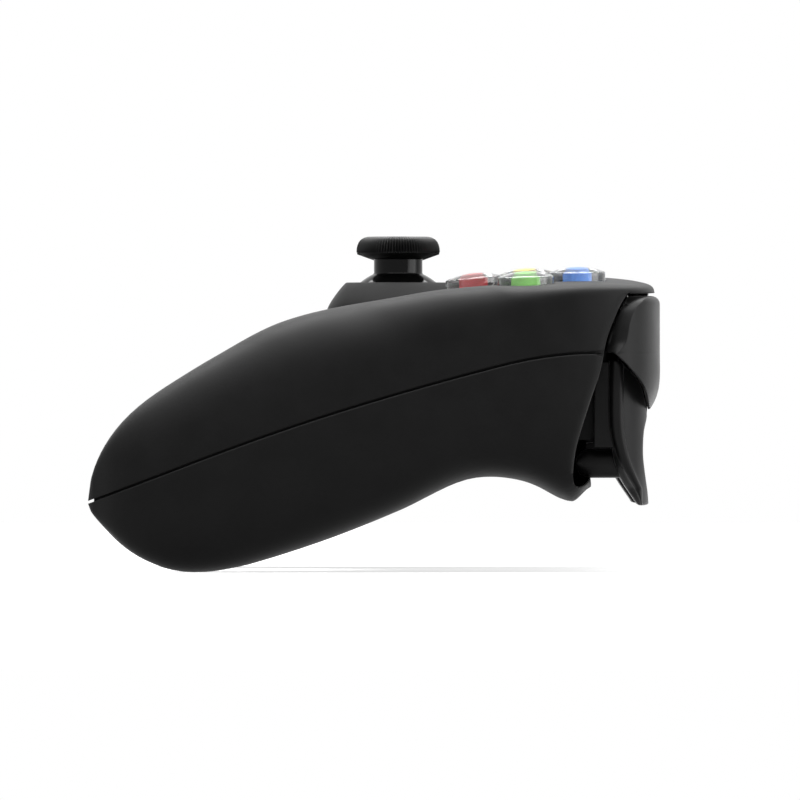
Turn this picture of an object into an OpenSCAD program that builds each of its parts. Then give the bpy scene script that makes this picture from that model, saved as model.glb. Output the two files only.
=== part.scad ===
// Wireless gamepad: two case shells, two thumbsticks, four face buttons, a direction pad,
// bumpers and triggers, with the board, battery and motors inside.
// X runs to the player's right, Y to the front (away from the player), Z up. Millimetres.

/* [Case] */
// Width over both grips
case_width = 155; // [151:0.5:159]
// Front edge of the top shell, from mid-length
case_front = 51; // [50:0.25:52]
// Rear end of the grips, from mid-length
grip_reach = 52; // [50:0.5:55]
// Wall of both shells
case_wall = 2.2; // [1.8:0.1:2.6]
// Dark gap between the shells
seam_gap = 0.5; // [0.3:0.05:0.7]
// Height of the tongue that closes the seam from inside
tongue_height = 1.2; // [0.8:0.1:1.6]
// Underside of the middle of the body
belly_height = 21; // [19:0.5:23]
// Depth of the flat label panel in the belly
panel_depth = 0.6; // [0.4:0.1:0.8]

/* [Thumbsticks] */
// Stick axis, from the outer side of the pad
stick_inset = 49.5; // [48.5:0.5:50.5]
// Stick axis, from mid-length
stick_y = 4.3; // [3:0.5:5]
// Height of the pivot
pivot_height = 44.5; // [44:0.1:45]
// Radius of the dome around the pivot
dome_radius = 10.85; // [10.6:0.05:11]
// Radius of the stem
stem_radius = 4.45; // [4:0.05:4.6]
// Top of the cap
cap_top = 61.2; // [60.5:0.1:62]
// Radius of the cap
cap_radius = 7.65; // [7.2:0.05:8]
// Ribs around the cap
cap_ribs = 64; // [48:4:72]
// Top of the collar on the shell
collar_top = 52.8; // [52.5:0.1:53.2]
// Radius of the hole in the collar
collar_hole = 8.4; // [8.2:0.05:8.6]

/* [Buttons] */
// Centre of the face buttons and of the direction pad, from the outer side of the pad
cluster_inset = 27.5; // [26.5:0.5:28.5]
// The same centre, from mid-length
cluster_y = 27.5; // [26.5:0.5:28]
// Distance of each face button from their centre
button_spread = 9.45; // [9:0.05:10]
// Radius of a clear cap
button_radius = 5.1; // [4.8:0.05:5.3]
// Radius of the coloured core
core_radius = 3; // [2.6:0.1:3.4]
// How far a cap's dome stands above the shell
button_stand = 2.6; // [2.2:0.1:2.9]
// Travel of a face button
button_travel = 1.2; // [0.8:0.1:1.4]
// Tip to tip over the direction pad
dpad_span = 27; // [25:0.5:28]
// Width of an arm of the direction pad
dpad_arm = 9; // [8:0.5:10]
// Centre of the select and start buttons, from the middle of the pad
menu_x = 11; // [9.5:0.5:12]
// Radius of the select and start buttons
menu_radius = 2.6; // [2.2:0.1:3]

/* [Shoulders] */
// Front of the bumpers, from mid-length
bumper_front = 52; // [51.5:0.25:52.5]
// Top of the bumpers
bumper_top = 50.2; // [49.8:0.1:50.3]
// Inner end of the bumpers, from the middle of the pad
bumper_inner = 24; // [23.5:0.5:26]
// Travel of a bumper
bumper_travel = 0.8; // [0.5:0.1:0.9]
// Width of a trigger
trigger_width = 30; // [28:0.5:31]
// Outer side of the triggers, from the outer side of the pad
trigger_inset = 11.5; // [10.5:0.5:13.5]
// Trigger pin, from mid-length
pin_y = 42.4; // [42.2:0.05:42.6]
// Trigger pin height
pin_z = 36.2; // [36:0.05:36.4]
// Radius of the trigger pins
pin_radius = 1; // [0.8:0.05:1.1]

/* [Inside] */
// Top of the circuit board
board_top = 38; // [37.6:0.1:38.2]
// Thickness of the circuit board
board_thickness = 1.6; // [1.2:0.1:2]
// Battery, across
battery_width = 48; // [40:1:50]
// Battery, front to back
battery_length = 26; // [22:1:28]
// Battery thickness
battery_height = 9; // [7:0.5:10]
// Radius of the motors
motor_radius = 6; // [5:0.25:6.5]
// Length of the motors
motor_length = 12; // [10:0.5:13]
// Radius of the motors' weights
weight_radius = 7; // [6.5:0.25:7.25]

/* [Fits] */
// Gap around a button or pad in the shell
button_gap = 0.35; // [0.25:0.05:0.45]
// Radial clearance of a turning shaft
shaft_gap = 0.05; // [0.03:0.01:0.09]
// Gap between a piece and the seat that carries it
seat_gap = 0.1; // [0.05:0.05:0.2]
// Gap between pieces that move past each other
running_gap = 0.4; // [0.35:0.05:0.5]

/* [Hidden] */
$fn = 48;

case_color = [0.10, 0.10, 0.11];
rubber_color = [0.07, 0.07, 0.07];
clear_color = [0.80, 0.82, 0.84];
metal_color = [0.72, 0.72, 0.74];
board_color = [0.05, 0.28, 0.14];

// Curves through a few chosen points

function slope_at(points, i) =
    let (before = max(i - 1, 0), after = min(i + 1, len(points) - 1))
    (points[after] - points[before]) / (after - before);

// Point on the smooth curve through the list, at a place counted in list steps
function curve_point(points, place) =
    let (
        i = min(floor(place), len(points) - 2),
        t = place - i,
        square = t * t,
        cube = square * t
    )
    points[i] * (2 * cube - 3 * square + 1)
    + slope_at(points, i) * (cube - 2 * square + t)
    + points[i + 1] * (3 * square - 2 * cube)
    + slope_at(points, i + 1) * (cube - square);

function step_of(points, y, i = 0) =
    i >= len(points) - 2 || y < points[i + 1].x ? i : step_of(points, y, i + 1);

function rate_at(points, i) =
    let (before = max(i - 1, 0), after = min(i + 1, len(points) - 1))
    (points[after].y - points[before].y) / (points[after].x - points[before].x);

// Height of the smooth line through [y, height] points, at y
function line_height(points, y) =
    let (
        i = step_of(points, y),
        span = points[i + 1].x - points[i].x,
        t = (y - points[i].x) / span,
        square = t * t,
        cube = square * t
    )
    points[i].y * (2 * cube - 3 * square + 1)
    + rate_at(points, i) * span * (cube - 2 * square + t)
    + points[i + 1].y * (3 * square - 2 * cube)
    + rate_at(points, i + 1) * span * (cube - square);

function ease(from, to, value) =
    let (t = min(max((value - from) / (to - from), 0), 1))
    t * t * (3 - 2 * t);

// Case: plan outline, seam and heights

half_width = case_width / 2;
stick_x = half_width - stick_inset;
cluster_x = half_width - cluster_inset;
grip_end = [half_width - 11, -grip_reach];
outer_edge = [
    [0, case_front - 2],
    [22, case_front - 1],
    [42, case_front],
    [half_width - 19.5, case_front - 0.5],
    [half_width - 9, case_front - 4.5],
    [half_width - 3.5, case_front - 13],
    [half_width - 1, case_front - 29],
    [half_width, 3],
    [half_width - 0.5, -0.31 * grip_reach],
    [half_width - 2, -0.615 * grip_reach],
    [half_width - 5, -0.865 * grip_reach],
    grip_end
];
// Inner edge, each point as shares of the way to the grip's end
inner_shares = [[0.18, 0.135], [0.316, 0.202], [0.421, 0.288], [0.496, 0.385], [0.564, 0.49], [0.632, 0.606],
    [0.699, 0.721], [0.767, 0.827], [0.842, 0.923], [0.917, 0.985], [1, 1]];
inner_edge = concat([[0, -6]], [for (s = inner_shares) [s.x * grip_end.x, s.y * grip_end.y]]);
// How square the section is, from the middle (first) to the grip's end (last)
front_squareness = [14, 14, 14, 14, 12, 9, 5.5, 3.6, 2.8, 2.4, 2.2, 2.2];
rear_squareness = [5, 5, 5, 4, 3.2, 2.8, 2.6, 2.5, 2.4, 2.4, 2.2, 2.2];
bottom_squareness = [6, 6, 6, 6, 6, 5, 4, 3.2, 2.7, 2.4, 2.2, 2.2];

seam_line = [[-52, 12.7], [-13.5, 26.9], [22.8, 37.5], [36, 39.7], [52, 39.6]];
rise_line = [[-52, 18.5], [-36, 16.8], [-17, 19.7], [4.3, 17.6], [27.5, 14.9], [52, 14.4]];
depth_line = [[-52, 8], [-46, 14.4], [-39, 18.1], [-32.5, 20.2], [-24.5, 22.1], [-10, 22.6], [4.6, 21.3],
    [15.5, 19.1], [21, 19.7], [28, 22.4], [35.9, 27], [39.5, 24.5], [52, 22]];
// How far the top face falls from the middle to crown_side, as [y, drop]
crown_line = [[-52, 0], [4, 0], [12, 0.1], [20, 1.1], [27.5, 2], [36, 2.4], [52, 2.5]];
crown_side = half_width - 11.5;
grip_round = 22;
belly_from = 22;
belly_to = 40;

function seam_height(y) = line_height(seam_line, y);
function end_round(y) =
    let (t = max(0, (grip_round - grip_reach - y) / grip_round))
    sqrt(max(0, 1 - t * t));
function top_height(y) = seam_height(y) + line_height(rise_line, y) * end_round(y);
function surface_height(x, y) = top_height(y) - line_height(crown_line, y) * pow(x / crown_side, 2);
function grip_depth(y) = line_height(depth_line, y) * end_round(y);
function depth_at(x, y) =
    let (share = ease(belly_from, belly_to, abs(x)))
    (1 - share) * (seam_height(y) - belly_height) + share * grip_depth(y);

// Shell surfaces: rows run across the pad, each row an arch from the outer to the inner edge

half_rows = 22;
arch_steps = 20;
last_place = len(outer_edge) - 1;

function edge_point(edge, row) =
    let (p = curve_point(edge, abs(row) * last_place / half_rows))
    [sign(row) * p.x, p.y];
// Round the plan once: outer edge to the right end and back along the inner edge
function plan_point(i) =
    i > half_rows ? edge_point(inner_edge, 2 * half_rows - i)
    : i < -half_rows ? edge_point(inner_edge, -2 * half_rows - i)
    : edge_point(outer_edge, i);
function wrap(i) = i > 2 * half_rows ? i - 4 * half_rows : i < -2 * half_rows ? i + 4 * half_rows : i;
function inset_point(i, inset) =
    let (
        along = plan_point(wrap(i + 1)) - plan_point(wrap(i - 1)),
        inward = [along.y, -along.x] / norm(along)
    )
    plan_point(i) + inset * inward;
function far_side(row) = row > 0 ? 2 * half_rows - row : row < 0 ? -2 * half_rows - row : 2 * half_rows;

function squareness(list, row) =
    let (place = abs(row) * last_place / half_rows, i = min(floor(place), last_place - 1), t = place - i)
    list[i] * (1 - t) + list[i + 1] * t;

// Point of an arch: up is 1 for the top surface and -1 for the bottom one
function arch_point(row, step, up, inset, lift) =
    let (
        angle = 180 * step / arch_steps,
        front = inset_point(row, inset),
        rear = inset_point(far_side(row), inset),
        power = squareness(up < 0 ? bottom_squareness : step < arch_steps / 2 ? front_squareness
            : rear_squareness, row),
        reach = cos(angle),
        swell = pow(1 - pow(abs(reach), power), 1 / power),
        p = (front + rear) / 2 + (front - rear) / 2 * reach,
        height = up > 0 ? surface_height(p.x, p.y) - seam_height(p.y) : depth_at(p.x, p.y)
    )
    [p.x, p.y, seam_height(p.y) + lift + up * swell * max(height - inset - up * lift, 0.2)];

function rim_point(i, inset, lift) =
    let (p = inset_point(i, inset))
    [p.x, p.y, seam_height(p.y) + lift];

rim_count = 4 * half_rows;
inner_rows = 2 * half_rows - 1;
inner_steps = arch_steps - 1;
function rim_loop(inset, lift) = [for (i = [0 : rim_count - 1]) rim_point(wrap(i), inset, lift)];
function arch_grid(up, inset, lift) =
    [for (row = [1 - half_rows : half_rows - 1], step = [1 : inner_steps])
        arch_point(row, step, up, inset, lift)];

// Index of a surface point: the border belongs to the rim loop, the rest to the grid
function surface_index(rim, grid, row, step) =
    abs(row) == half_rows ? rim + (row < 0 ? 3 * half_rows : half_rows)
    : step == 0 ? rim + (row < 0 ? row + rim_count : row)
    : step == arch_steps ? rim + (row < 0 ? 2 * half_rows - row : row == 0 ? 2 * half_rows
        : 2 * half_rows - row)
    : grid + (row + half_rows - 1) * inner_steps + step - 1;

function surface_faces(rim, grid, flip) =
    [for (row = [-half_rows : half_rows - 1], step = [0 : arch_steps - 1])
        let (
            a = surface_index(rim, grid, row, step),
            b = surface_index(rim, grid, row + 1, step),
            c = surface_index(rim, grid, row + 1, step + 1),
            d = surface_index(rim, grid, row, step + 1)
        )
        each [
            if (a != b) flip ? [a, b, c] : [c, b, a],
            if (c != d) flip ? [a, c, d] : [d, c, a]
        ]];

function strip_faces(lower, upper, flip) =
    [for (i = [0 : rim_count - 1])
        let (next = (i + 1) % rim_count)
        each [
            flip ? [lower + i, upper + i, upper + next] : [upper + next, upper + i, lower + i],
            flip ? [lower + i, upper + next, lower + next] : [lower + next, upper + next, lower + i]
        ]];

// Hollow shell: outer surface, the rim's steps one after another, inner surface
module shell_body(up, rim_steps) {
    loops = len(rim_steps);
    grid_size = inner_rows * inner_steps;
    outer_grid = loops * rim_count;
    points = concat(
        [for (s = rim_steps) each rim_loop(s.x, s.y)],
        arch_grid(up, 0, rim_steps[0].y),
        arch_grid(up, case_wall, rim_steps[loops - 1].y)
    );
    faces = concat(
        surface_faces(0, outer_grid, up > 0),
        [for (k = [0 : loops - 2]) each strip_faces(k * rim_count, (k + 1) * rim_count, up > 0)],
        surface_faces((loops - 1) * rim_count, outer_grid + grid_size, up < 0)
    );
    polyhedron(points, faces, convexity = 8);
}

// Shared helpers

module at_both_sides(p) {
    for (side = [-1, 1])
        translate([side * p.x, p.y, 0]) children();
}

module both_halves() {
    for (half = [0, 1])
        mirror([half, 0, 0]) children();
}

module left_half() {
    mirror([1, 0, 0]) children();
}

// Extrudes a [y, z] outline along X
module along_x(from, to) {
    translate([from, 0, 0])
        rotate([90, 0, 90])
            linear_extrude(to - from) children();
}

function stretch(from, to, steps) = [for (i = [0 : steps]) from + (to - from) * i / steps];

// Wire through the points, as one unbroken tube
wire_sides = 6;
function wire_ring(points, i, radius) =
    let (
        ahead = points[min(i + 1, len(points) - 1)] - points[max(i - 1, 0)],
        along = ahead / norm(ahead),
        guide = abs(along.x) > 0.9 ? [0, 0, 1] : [1, 0, 0],
        across = cross(along, guide) / norm(cross(along, guide)),
        up = cross(across, along)
    )
    [for (k = [0 : wire_sides - 1])
        points[i] + radius * (cos(360 * k / wire_sides) * across + sin(360 * k / wire_sides) * up)];

module wire(points, radius) {
    count = len(points);
    rings = [for (i = [0 : count - 1]) each wire_ring(points, i, radius)];
    sides = [for (i = [0 : count - 2], k = [0 : wire_sides - 1])
        let (
            a = i * wire_sides + k,
            b = i * wire_sides + (k + 1) % wire_sides
        )
        each [[a, b, b + wire_sides], [a, b + wire_sides, a + wire_sides]]];
    start = [for (k = [1 : wire_sides - 2]) [0, k + 1, k]];
    last = (count - 1) * wire_sides;
    end = [for (k = [1 : wire_sides - 2]) [last, last + k, last + k + 1]];
    polyhedron(rings, concat(sides, start, end), convexity = 6);
}

// Least distance between two curls of the same wire
function curl_gap(points, per_curl, radius) =
    min([for (i = [0 : len(points) - 1 - per_curl / 2], j = [i + per_curl / 2 : len(points) - 1])
        norm(points[i] - points[j])]) - 2 * radius;

// Places and fits that several pieces share

button_places = [
    [cluster_x, cluster_y - button_spread],
    [cluster_x + button_spread, cluster_y],
    [cluster_x - button_spread, cluster_y],
    [cluster_x, cluster_y + button_spread]
];

grip_screw = [half_width - 14, -grip_reach / 2];
front_screw = [16, 38];
case_screw_places = [grip_screw, front_screw];
screw_radius = 1.2;
screw_clearance = 0.25;
screw_depth = 9;
head_radius = 2.8;
head_height = 2;
head_sink = 2.4;
boss_radius = 3.2;
lower_boss_radius = head_radius + screw_clearance + 1.4;

board_posts = [[stick_x + 6, 33.5], [stick_x + 16, 0]];
post_radius = 2;
board_screw_radius = 0.8;
board_screw_length = 5;
board_under = board_top - board_thickness;

function under_height(p) = seam_height(p.y) - depth_at(p.x, p.y);
function head_seat(p) = under_height(p) + head_sink + head_height;

// Front edge of the shells at the shoulders, as [z, y]
shoulder_line = [[15.6, 35.8], [22.2, 36.5], [30, 38.8], [36.7, 41], [42.2, 42.1], [46.7, 43.8], [49.8, 45.4],
    [52, 47.2]];
function shoulder_y(z) = line_height(shoulder_line, z);
shoulder_inner = bumper_inner - running_gap;
lip_gap = 0.6;
lip_under = bumper_top + lip_gap;
lip_thickness = 1;
hook_end = 39.3;
hook_floor = 15.6;
pocket_back = 31;
pocket_rise = 2.4;
pocket_gap = 1.2;
pocket_thickness = 1.6;
far_out = 95;

socket_size = [9, 7.5, 3.2];
socket_front = case_front - 2.6;

collar_base = 13;
collar_flat = 9.45;
collar_foot = 47;
collar_steps = 6;

pad_pivot = 46.5;
pad_stand = 1.5;
pad_gap = 0.9;
pad_top = surface_height(cluster_x, cluster_y) + pad_stand;
pad_tilt = atan((surface_height(cluster_x, cluster_y + dpad_span / 2)
    - surface_height(cluster_x, cluster_y - dpad_span / 2)) / dpad_span);

motor_axis = [-14, 19];
motor_inner = half_width - 28.5;
cradle_places = [motor_inner + 3, motor_inner + 8];
cradle_thickness = 2;
cradle_reach = 8;

tongue_inset = 1.2;
tongue_gap = 0.2;
lip_inset = tongue_inset - tongue_gap;
battery_seat = belly_height + case_wall + 0.8;
rib_thickness = 2;
rib_x = 15;

// Case shells

module shoulder_cut(from_z, to_z, floor_points) {
    along_x(shoulder_inner, far_out)
        polygon(concat(
            [for (z = stretch(from_z, to_z, 10)) [shoulder_y(z), z]],
            [[far_out, to_z]],
            floor_points
        ));
}

module stick_collar() {
    rotate_extrude()
        polygon(concat(
            [[collar_hole - 1, collar_foot], [collar_base, collar_foot]],
            [for (a = stretch(15, 90, collar_steps - 1))
                [collar_flat + (collar_base - collar_flat) * cos(a),
                    collar_foot + (collar_top - collar_foot) * sin(a)]],
            [[collar_hole - 1, collar_top]]
        ));
}

module stick_cavity() {
    translate([0, 0, pivot_height]) sphere(dome_radius + running_gap);
    translate([0, 0, pivot_height]) cylinder(h = 20, r = collar_hole);
}

module pad_place() {
    translate([-cluster_x, cluster_y, pad_pivot])
        rotate([pad_tilt, 0, 0]) children();
}

module pad_plan(grow) {
    for (turn = [0, 90])
        rotate(turn)
            square([dpad_span + 2 * grow, dpad_arm + 2 * grow], center = true);
}

module top_openings() {
    for (p = button_places)
        translate([p.x, p.y, board_top + 6]) cylinder(h = 30, r = button_radius + button_gap);
    pad_place() linear_extrude(20) pad_plan(pad_gap);
    at_both_sides([menu_x, cluster_y])
        translate([0, 0, board_top + 6]) cylinder(h = 30, r = menu_radius + button_gap);
}

module socket_opening() {
    room = 2 * running_gap;
    translate([0, socket_front, board_top + socket_size.z / 2])
        cube([socket_size.x + room, 2 * socket_size.y, socket_size.z + room], center = true);
}

module top_bosses() {
    for (p = case_screw_places) {
        foot = seam_height(p.y) + seam_gap;
        head = surface_height(p.x, p.y - boss_radius) - case_wall / 3;
        at_both_sides(p)
            translate([0, 0, foot]) cylinder(h = head - foot, r = boss_radius);
    }
    for (p = board_posts)
        at_both_sides(p)
            translate([0, 0, board_top]) {
                head = surface_height(p.x, p.y - post_radius) - case_wall / 2;
                cylinder(h = head - board_top, r = post_radius);
            }
}

module top_boss_holes() {
    for (p = case_screw_places)
        at_both_sides(p)
            translate([0, 0, seam_height(p.y) - 1])
                cylinder(h = screw_depth + 2, r = screw_radius + shaft_gap);
    for (p = board_posts)
        at_both_sides(p)
            translate([0, 0, board_top - 1])
                cylinder(h = board_screw_length + 1.5, r = board_screw_radius + shaft_gap);
}

// Plate under the top face that covers the bumper
module shoulder_lip() {
    back = shoulder_y(lip_under) - 3;
    translate([0, 0, lip_under])
        linear_extrude(lip_thickness)
            polygon([[bumper_inner - 2, back], [half_width - 19.5, back], [half_width - 20, case_front - 6],
                [half_width - 23.5, case_front - 3.4], [bumper_inner - 2, case_front - 3.6]]);
}

module top_shell() color(case_color)
    difference() {
        union() {
            difference() {
                shell_body(1, [[0, seam_gap / 2], [lip_inset, seam_gap / 2],
                    [lip_inset, tongue_height + tongue_gap], [case_wall, tongue_height + tongue_gap]]);
                both_halves() shoulder_cut(34, lip_under, [[far_out, 34]]);
            }
            at_both_sides([stick_x, stick_y]) stick_collar();
            top_bosses();
            both_halves() shoulder_lip();
        }
        at_both_sides([stick_x, stick_y]) stick_cavity();
        top_openings();
        socket_opening();
        top_boss_holes();
    }

module lower_bosses() {
    for (p = case_screw_places) {
        foot = under_height(p) + case_wall / 2;
        at_both_sides(p)
            translate([0, 0, foot])
                cylinder(h = seam_height(p.y) - foot, r = lower_boss_radius);
    }
}

module lower_boss_holes() {
    for (p = case_screw_places)
        at_both_sides(p) {
            translate([0, 0, under_height(p) - 5])
                cylinder(h = head_sink + head_height + 5, r = head_radius + screw_clearance);
            translate([0, 0, under_height(p)])
                cylinder(h = 30, r = screw_radius + screw_clearance);
        }
}

module motor_cradle(x) {
    along_x(x - cradle_thickness / 2, x + cradle_thickness / 2)
        difference() {
            polygon(concat(
                [for (y = stretch(motor_axis.x - cradle_reach, motor_axis.x + cradle_reach, 8))
                    [y, seam_height(y) - grip_depth(y) + 0.6 * case_wall]],
                [[motor_axis.x + cradle_reach, motor_axis.y], [motor_axis.x - cradle_reach, motor_axis.y]]
            ));
            translate(motor_axis) circle(motor_radius + seat_gap);
        }
}

module battery_rib(x) {
    foot = belly_height + 0.6 * case_wall;
    translate([x - rib_thickness / 2, battery_middle - battery_length / 2, foot])
        cube([rib_thickness, battery_length, battery_seat - seat_gap - foot]);
}

panel_size = [36, 24];
battery_middle = 16;

module label_panel() {
    translate([-panel_size.x / 2, battery_middle - panel_size.y / 2, belly_height - 5])
        cube([panel_size.x, panel_size.y, 5 + panel_depth]);
}

// Wall that closes the pocket under the trigger's arm towards the middle
module pocket_wall() {
    along_x(arm_inner - pocket_gap - pocket_thickness, arm_inner - pocket_gap)
        polygon(concat(
            [for (y = stretch(pocket_back, hook_end, 8)) [y, seam_height(y) - grip_depth(y) + case_wall / 2]],
            [[hook_end, hook_floor + pocket_rise], [pocket_back, hook_floor + pocket_rise]]
        ));
}

module bottom_shell() color(case_color)
    difference() {
        union() {
            difference() {
                shell_body(-1, [[0, -seam_gap / 2], [tongue_inset, -seam_gap / 2],
                    [tongue_inset, tongue_height], [case_wall, tongue_height]]);
                both_halves()
                    shoulder_cut(hook_floor, 45, [[far_out, 5], [hook_end + 1.5, 5],
                        [hook_end, hook_floor + running_gap]]);
            }
            lower_bosses();
            both_halves() {
                pocket_wall();
                for (x = cradle_places) motor_cradle(x);
            }
            for (x = [-rib_x, rib_x]) battery_rib(x);
        }
        lower_boss_holes();
        label_panel();
        socket_opening();
    }

module case_screws() color(metal_color)
    for (p = case_screw_places) {
        seat = head_seat(p);
        at_both_sides(p) {
            translate([0, 0, seat - head_height]) cylinder(h = head_height, r = head_radius);
            translate([0, 0, seat - 0.5])
                cylinder(h = seam_height(p.y) + screw_depth - seat + 0.5, r = screw_radius);
        }
    }

// Board and what stands on it

board_half = half_width - 15.5;
board_rear = -2.6;
board_front = 36.8;
board_tongue = [8, case_front - 5.5];

module main_board() color(board_color)
    translate([0, 0, board_under])
        linear_extrude(board_thickness)
            difference() {
                union() {
                    translate([-board_half, board_rear]) square([2 * board_half, board_front - board_rear]);
                    translate([-board_tongue.x, 0]) square([2 * board_tongue.x, board_tongue.y]);
                }
                for (side = [-1, 1]) {
                    translate([side * front_screw.x, front_screw.y]) circle(lower_boss_radius + running_gap);
                    for (p = board_posts)
                        translate([side * p.x, p.y]) circle(board_screw_radius + screw_clearance);
                }
            }

module board_screws() color(metal_color)
    for (p = board_posts)
        at_both_sides(p)
            translate([0, 0, board_under]) {
                translate([0, 0, -1.2]) cylinder(h = 1.2, r = 1.6);
                translate([0, 0, -0.5]) cylinder(h = board_screw_length + 0.5, r = board_screw_radius);
            }

module battery() color([0.25, 0.27, 0.32])
    translate([-battery_width / 2, battery_middle - battery_length / 2, battery_seat])
        cube([battery_width, battery_length, battery_height]);

socket_wall = 0.35;

module charging_socket() color(metal_color)
    translate([0, socket_front - socket_size.y / 2, board_top + socket_size.z / 2])
        difference() {
            cube(socket_size, center = true);
            translate([0, 1, 0])
                cube(socket_size - 2 * socket_wall * [1, 0, 1], center = true);
        }

switch_side = 5;
switch_height = 2.5;

module menu_switches() color([0.2, 0.2, 0.22])
    at_both_sides([menu_x, cluster_y])
        translate([0, 0, board_top + switch_height / 2])
            cube([switch_side, switch_side, switch_height], center = true);

menu_travel = 0.6;
menu_stand = 0.3;
flange_width = 1;
flange_height = 1.2;
leg_radius = 1.5;
function flange_top(p, radius) =
    let (reach = radius + flange_width)
    min(surface_height(p.x + reach, p.y - reach) - case_wall, lip_under) - running_gap;

module menu_button() {
    foot = board_top + switch_height + menu_travel + seat_gap;
    shoulder = flange_top([menu_x, cluster_y], menu_radius);
    translate([menu_x, cluster_y, 0]) {
        translate([0, 0, foot]) cylinder(h = shoulder - foot, r = leg_radius);
        translate([0, 0, shoulder - flange_height])
            cylinder(h = flange_height, r = menu_radius + flange_width);
        translate([0, 0, shoulder - 0.5])
            cylinder(h = surface_height(menu_x, cluster_y) + menu_stand - shoulder + 0.5, r = menu_radius);
    }
}

module start_button() color(case_color) menu_button();
module select_button() color(case_color) left_half() menu_button();

// Face buttons

dome_height = 1.5;
cap_roof = 1.3;
button_dome = (button_radius * button_radius + dome_height * dome_height) / (2 * dome_height);
function button_top(p) = surface_height(p.x, p.y) + button_stand;
function button_foot(p) = flange_top(p, button_radius) - flange_height;

module face_cap(p) color(clear_color)
    translate([p.x, p.y, 0])
        difference() {
            union() {
                intersection() {
                    translate([0, 0, button_foot(p)])
                        cylinder(h = button_top(p) - button_foot(p) + 1, r = button_radius);
                    translate([0, 0, button_top(p) - button_dome]) sphere(button_dome);
                }
                translate([0, 0, button_foot(p)])
                    cylinder(h = flange_height, r = button_radius + flange_width);
            }
            translate([0, 0, button_foot(p) - 1])
                cylinder(h = button_top(p) - cap_roof - button_foot(p) + 1, r = core_radius + shaft_gap);
        }

module face_core(p, paint) color(paint)
    translate([p.x, p.y, button_foot(p)])
        cylinder(h = button_top(p) - cap_roof - seat_gap - button_foot(p), r = core_radius);

module red_cap() face_cap(button_places[0]);
module green_cap() face_cap(button_places[1]);
module yellow_cap() face_cap(button_places[2]);
module blue_cap() face_cap(button_places[3]);
module red_core() face_core(button_places[0], [0.60, 0.12, 0.12]);
module green_core() face_core(button_places[1], [0.35, 0.60, 0.25]);
module yellow_core() face_core(button_places[2], [0.85, 0.75, 0.15]);
module blue_core() face_core(button_places[3], [0.15, 0.35, 0.75]);

mat_half = [11, 9.2];
mat_thickness = 1.2;
pillar_spread = 7;
pillar_radius = 2.1;
pillar_gap = 0.2;

module mat_plate(middle) {
    translate([middle - mat_half.x, cluster_y - mat_half.y, board_top])
        cube([2 * mat_half.x, 2 * mat_half.y, mat_thickness]);
}

module button_mat() color(rubber_color)
    union() {
        mat_plate(cluster_x);
        for (p = button_places) {
            toward = (p - [cluster_x, cluster_y]) / button_spread;
            translate([cluster_x + toward.x * pillar_spread, cluster_y + toward.y * pillar_spread, board_top])
                cylinder(h = button_foot(p) - button_travel - pillar_gap - board_top, r = pillar_radius);
        }
    }

// Direction pad

ball_radius = 2.2;
pad_under = 1.5;
pad_swing = 3.5;
pad_post_radius = 1.4;
pad_post_drop = 1.9;

module direction_pad() color(case_color)
    pad_place()
        difference() {
            translate([0, 0, -pad_under])
                linear_extrude(pad_top - pad_pivot + pad_under) pad_plan(0);
            sphere(ball_radius + shaft_gap);
        }

module pad_ball() color(metal_color)
    translate([-cluster_x, cluster_y, pad_pivot]) sphere(ball_radius);

module pad_post() color(case_color)
    translate([-cluster_x, cluster_y, 0])
        difference() {
            translate([0, 0, board_top + mat_thickness])
                cylinder(h = pad_pivot - pad_post_drop - board_top - mat_thickness, r = pad_post_radius);
            translate([0, 0, pad_pivot]) sphere(ball_radius + shaft_gap);
        }

module pad_mat() color(rubber_color)
    union() {
        mat_plate(-cluster_x);
        for (turn = [0 : 90 : 270]) {
            reach = pillar_spread + pillar_radius;
            dip = pad_under + reach * (sin(pad_tilt) + 1.5 * sin(pad_swing)) + pillar_gap;
            toward = [cos(turn), sin(turn)];
            translate([pillar_spread * toward.x - cluster_x, pillar_spread * toward.y + cluster_y, board_top])
                cylinder(h = pad_pivot - dip - board_top, r = pillar_radius);
        }
    }

// Thumbsticks

rim_height = 2.9;
cap_cone = 1.1;
rib_depth = 0.3;
crown_radius = cap_radius - rib_depth - 0.2;
crown_height = 0.6;
crown_slope = 0.8;
dish_radius = 25;
dish_depth = 0.4;
spigot_radius = 3;
spigot_height = 2;
dome_wall = 1.2;
dome_reach = 64;
post_thin = 2;
foot_drop = 2.5;
foot_radius = 2.6;
foot_height = 0.8;
ring_inner = 3.1;
ring_outer = 4.6;
ring_height = 3;
ring_shaft = 0.8;
cross_pin = 0.7;
frame_half = 6.4;
frame_wall = 1.1;
frame_floor = 0.8;
frame_top = pivot_height + 1.5;
cap_under = cap_top - rim_height - cap_cone;

module stick_place(side) {
    translate([side * stick_x, stick_y, 0]) children();
}

module knurl() {
    polygon([for (i = [0 : 2 * cap_ribs - 1])
        let (r = cap_radius - (i % 2) * rib_depth, a = 180 * i / cap_ribs)
        [r * cos(a), r * sin(a)]]);
}

module stick_cap(side) color(rubber_color)
    stick_place(side)
        difference() {
            union() {
                translate([0, 0, cap_top - rim_height]) linear_extrude(rim_height - crown_height) knurl();
                translate([0, 0, cap_top - crown_height])
                    cylinder(h = crown_height, r1 = crown_radius, r2 = crown_radius - crown_slope);
                translate([0, 0, cap_under])
                    cylinder(h = cap_cone, r1 = stem_radius, r2 = crown_radius);
            }
            translate([0, 0, cap_under - 1])
                cylinder(h = spigot_height + seat_gap + 1, r = spigot_radius + shaft_gap);
            translate([0, 0, cap_top + dish_radius - dish_depth]) sphere(dish_radius);
        }

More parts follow.
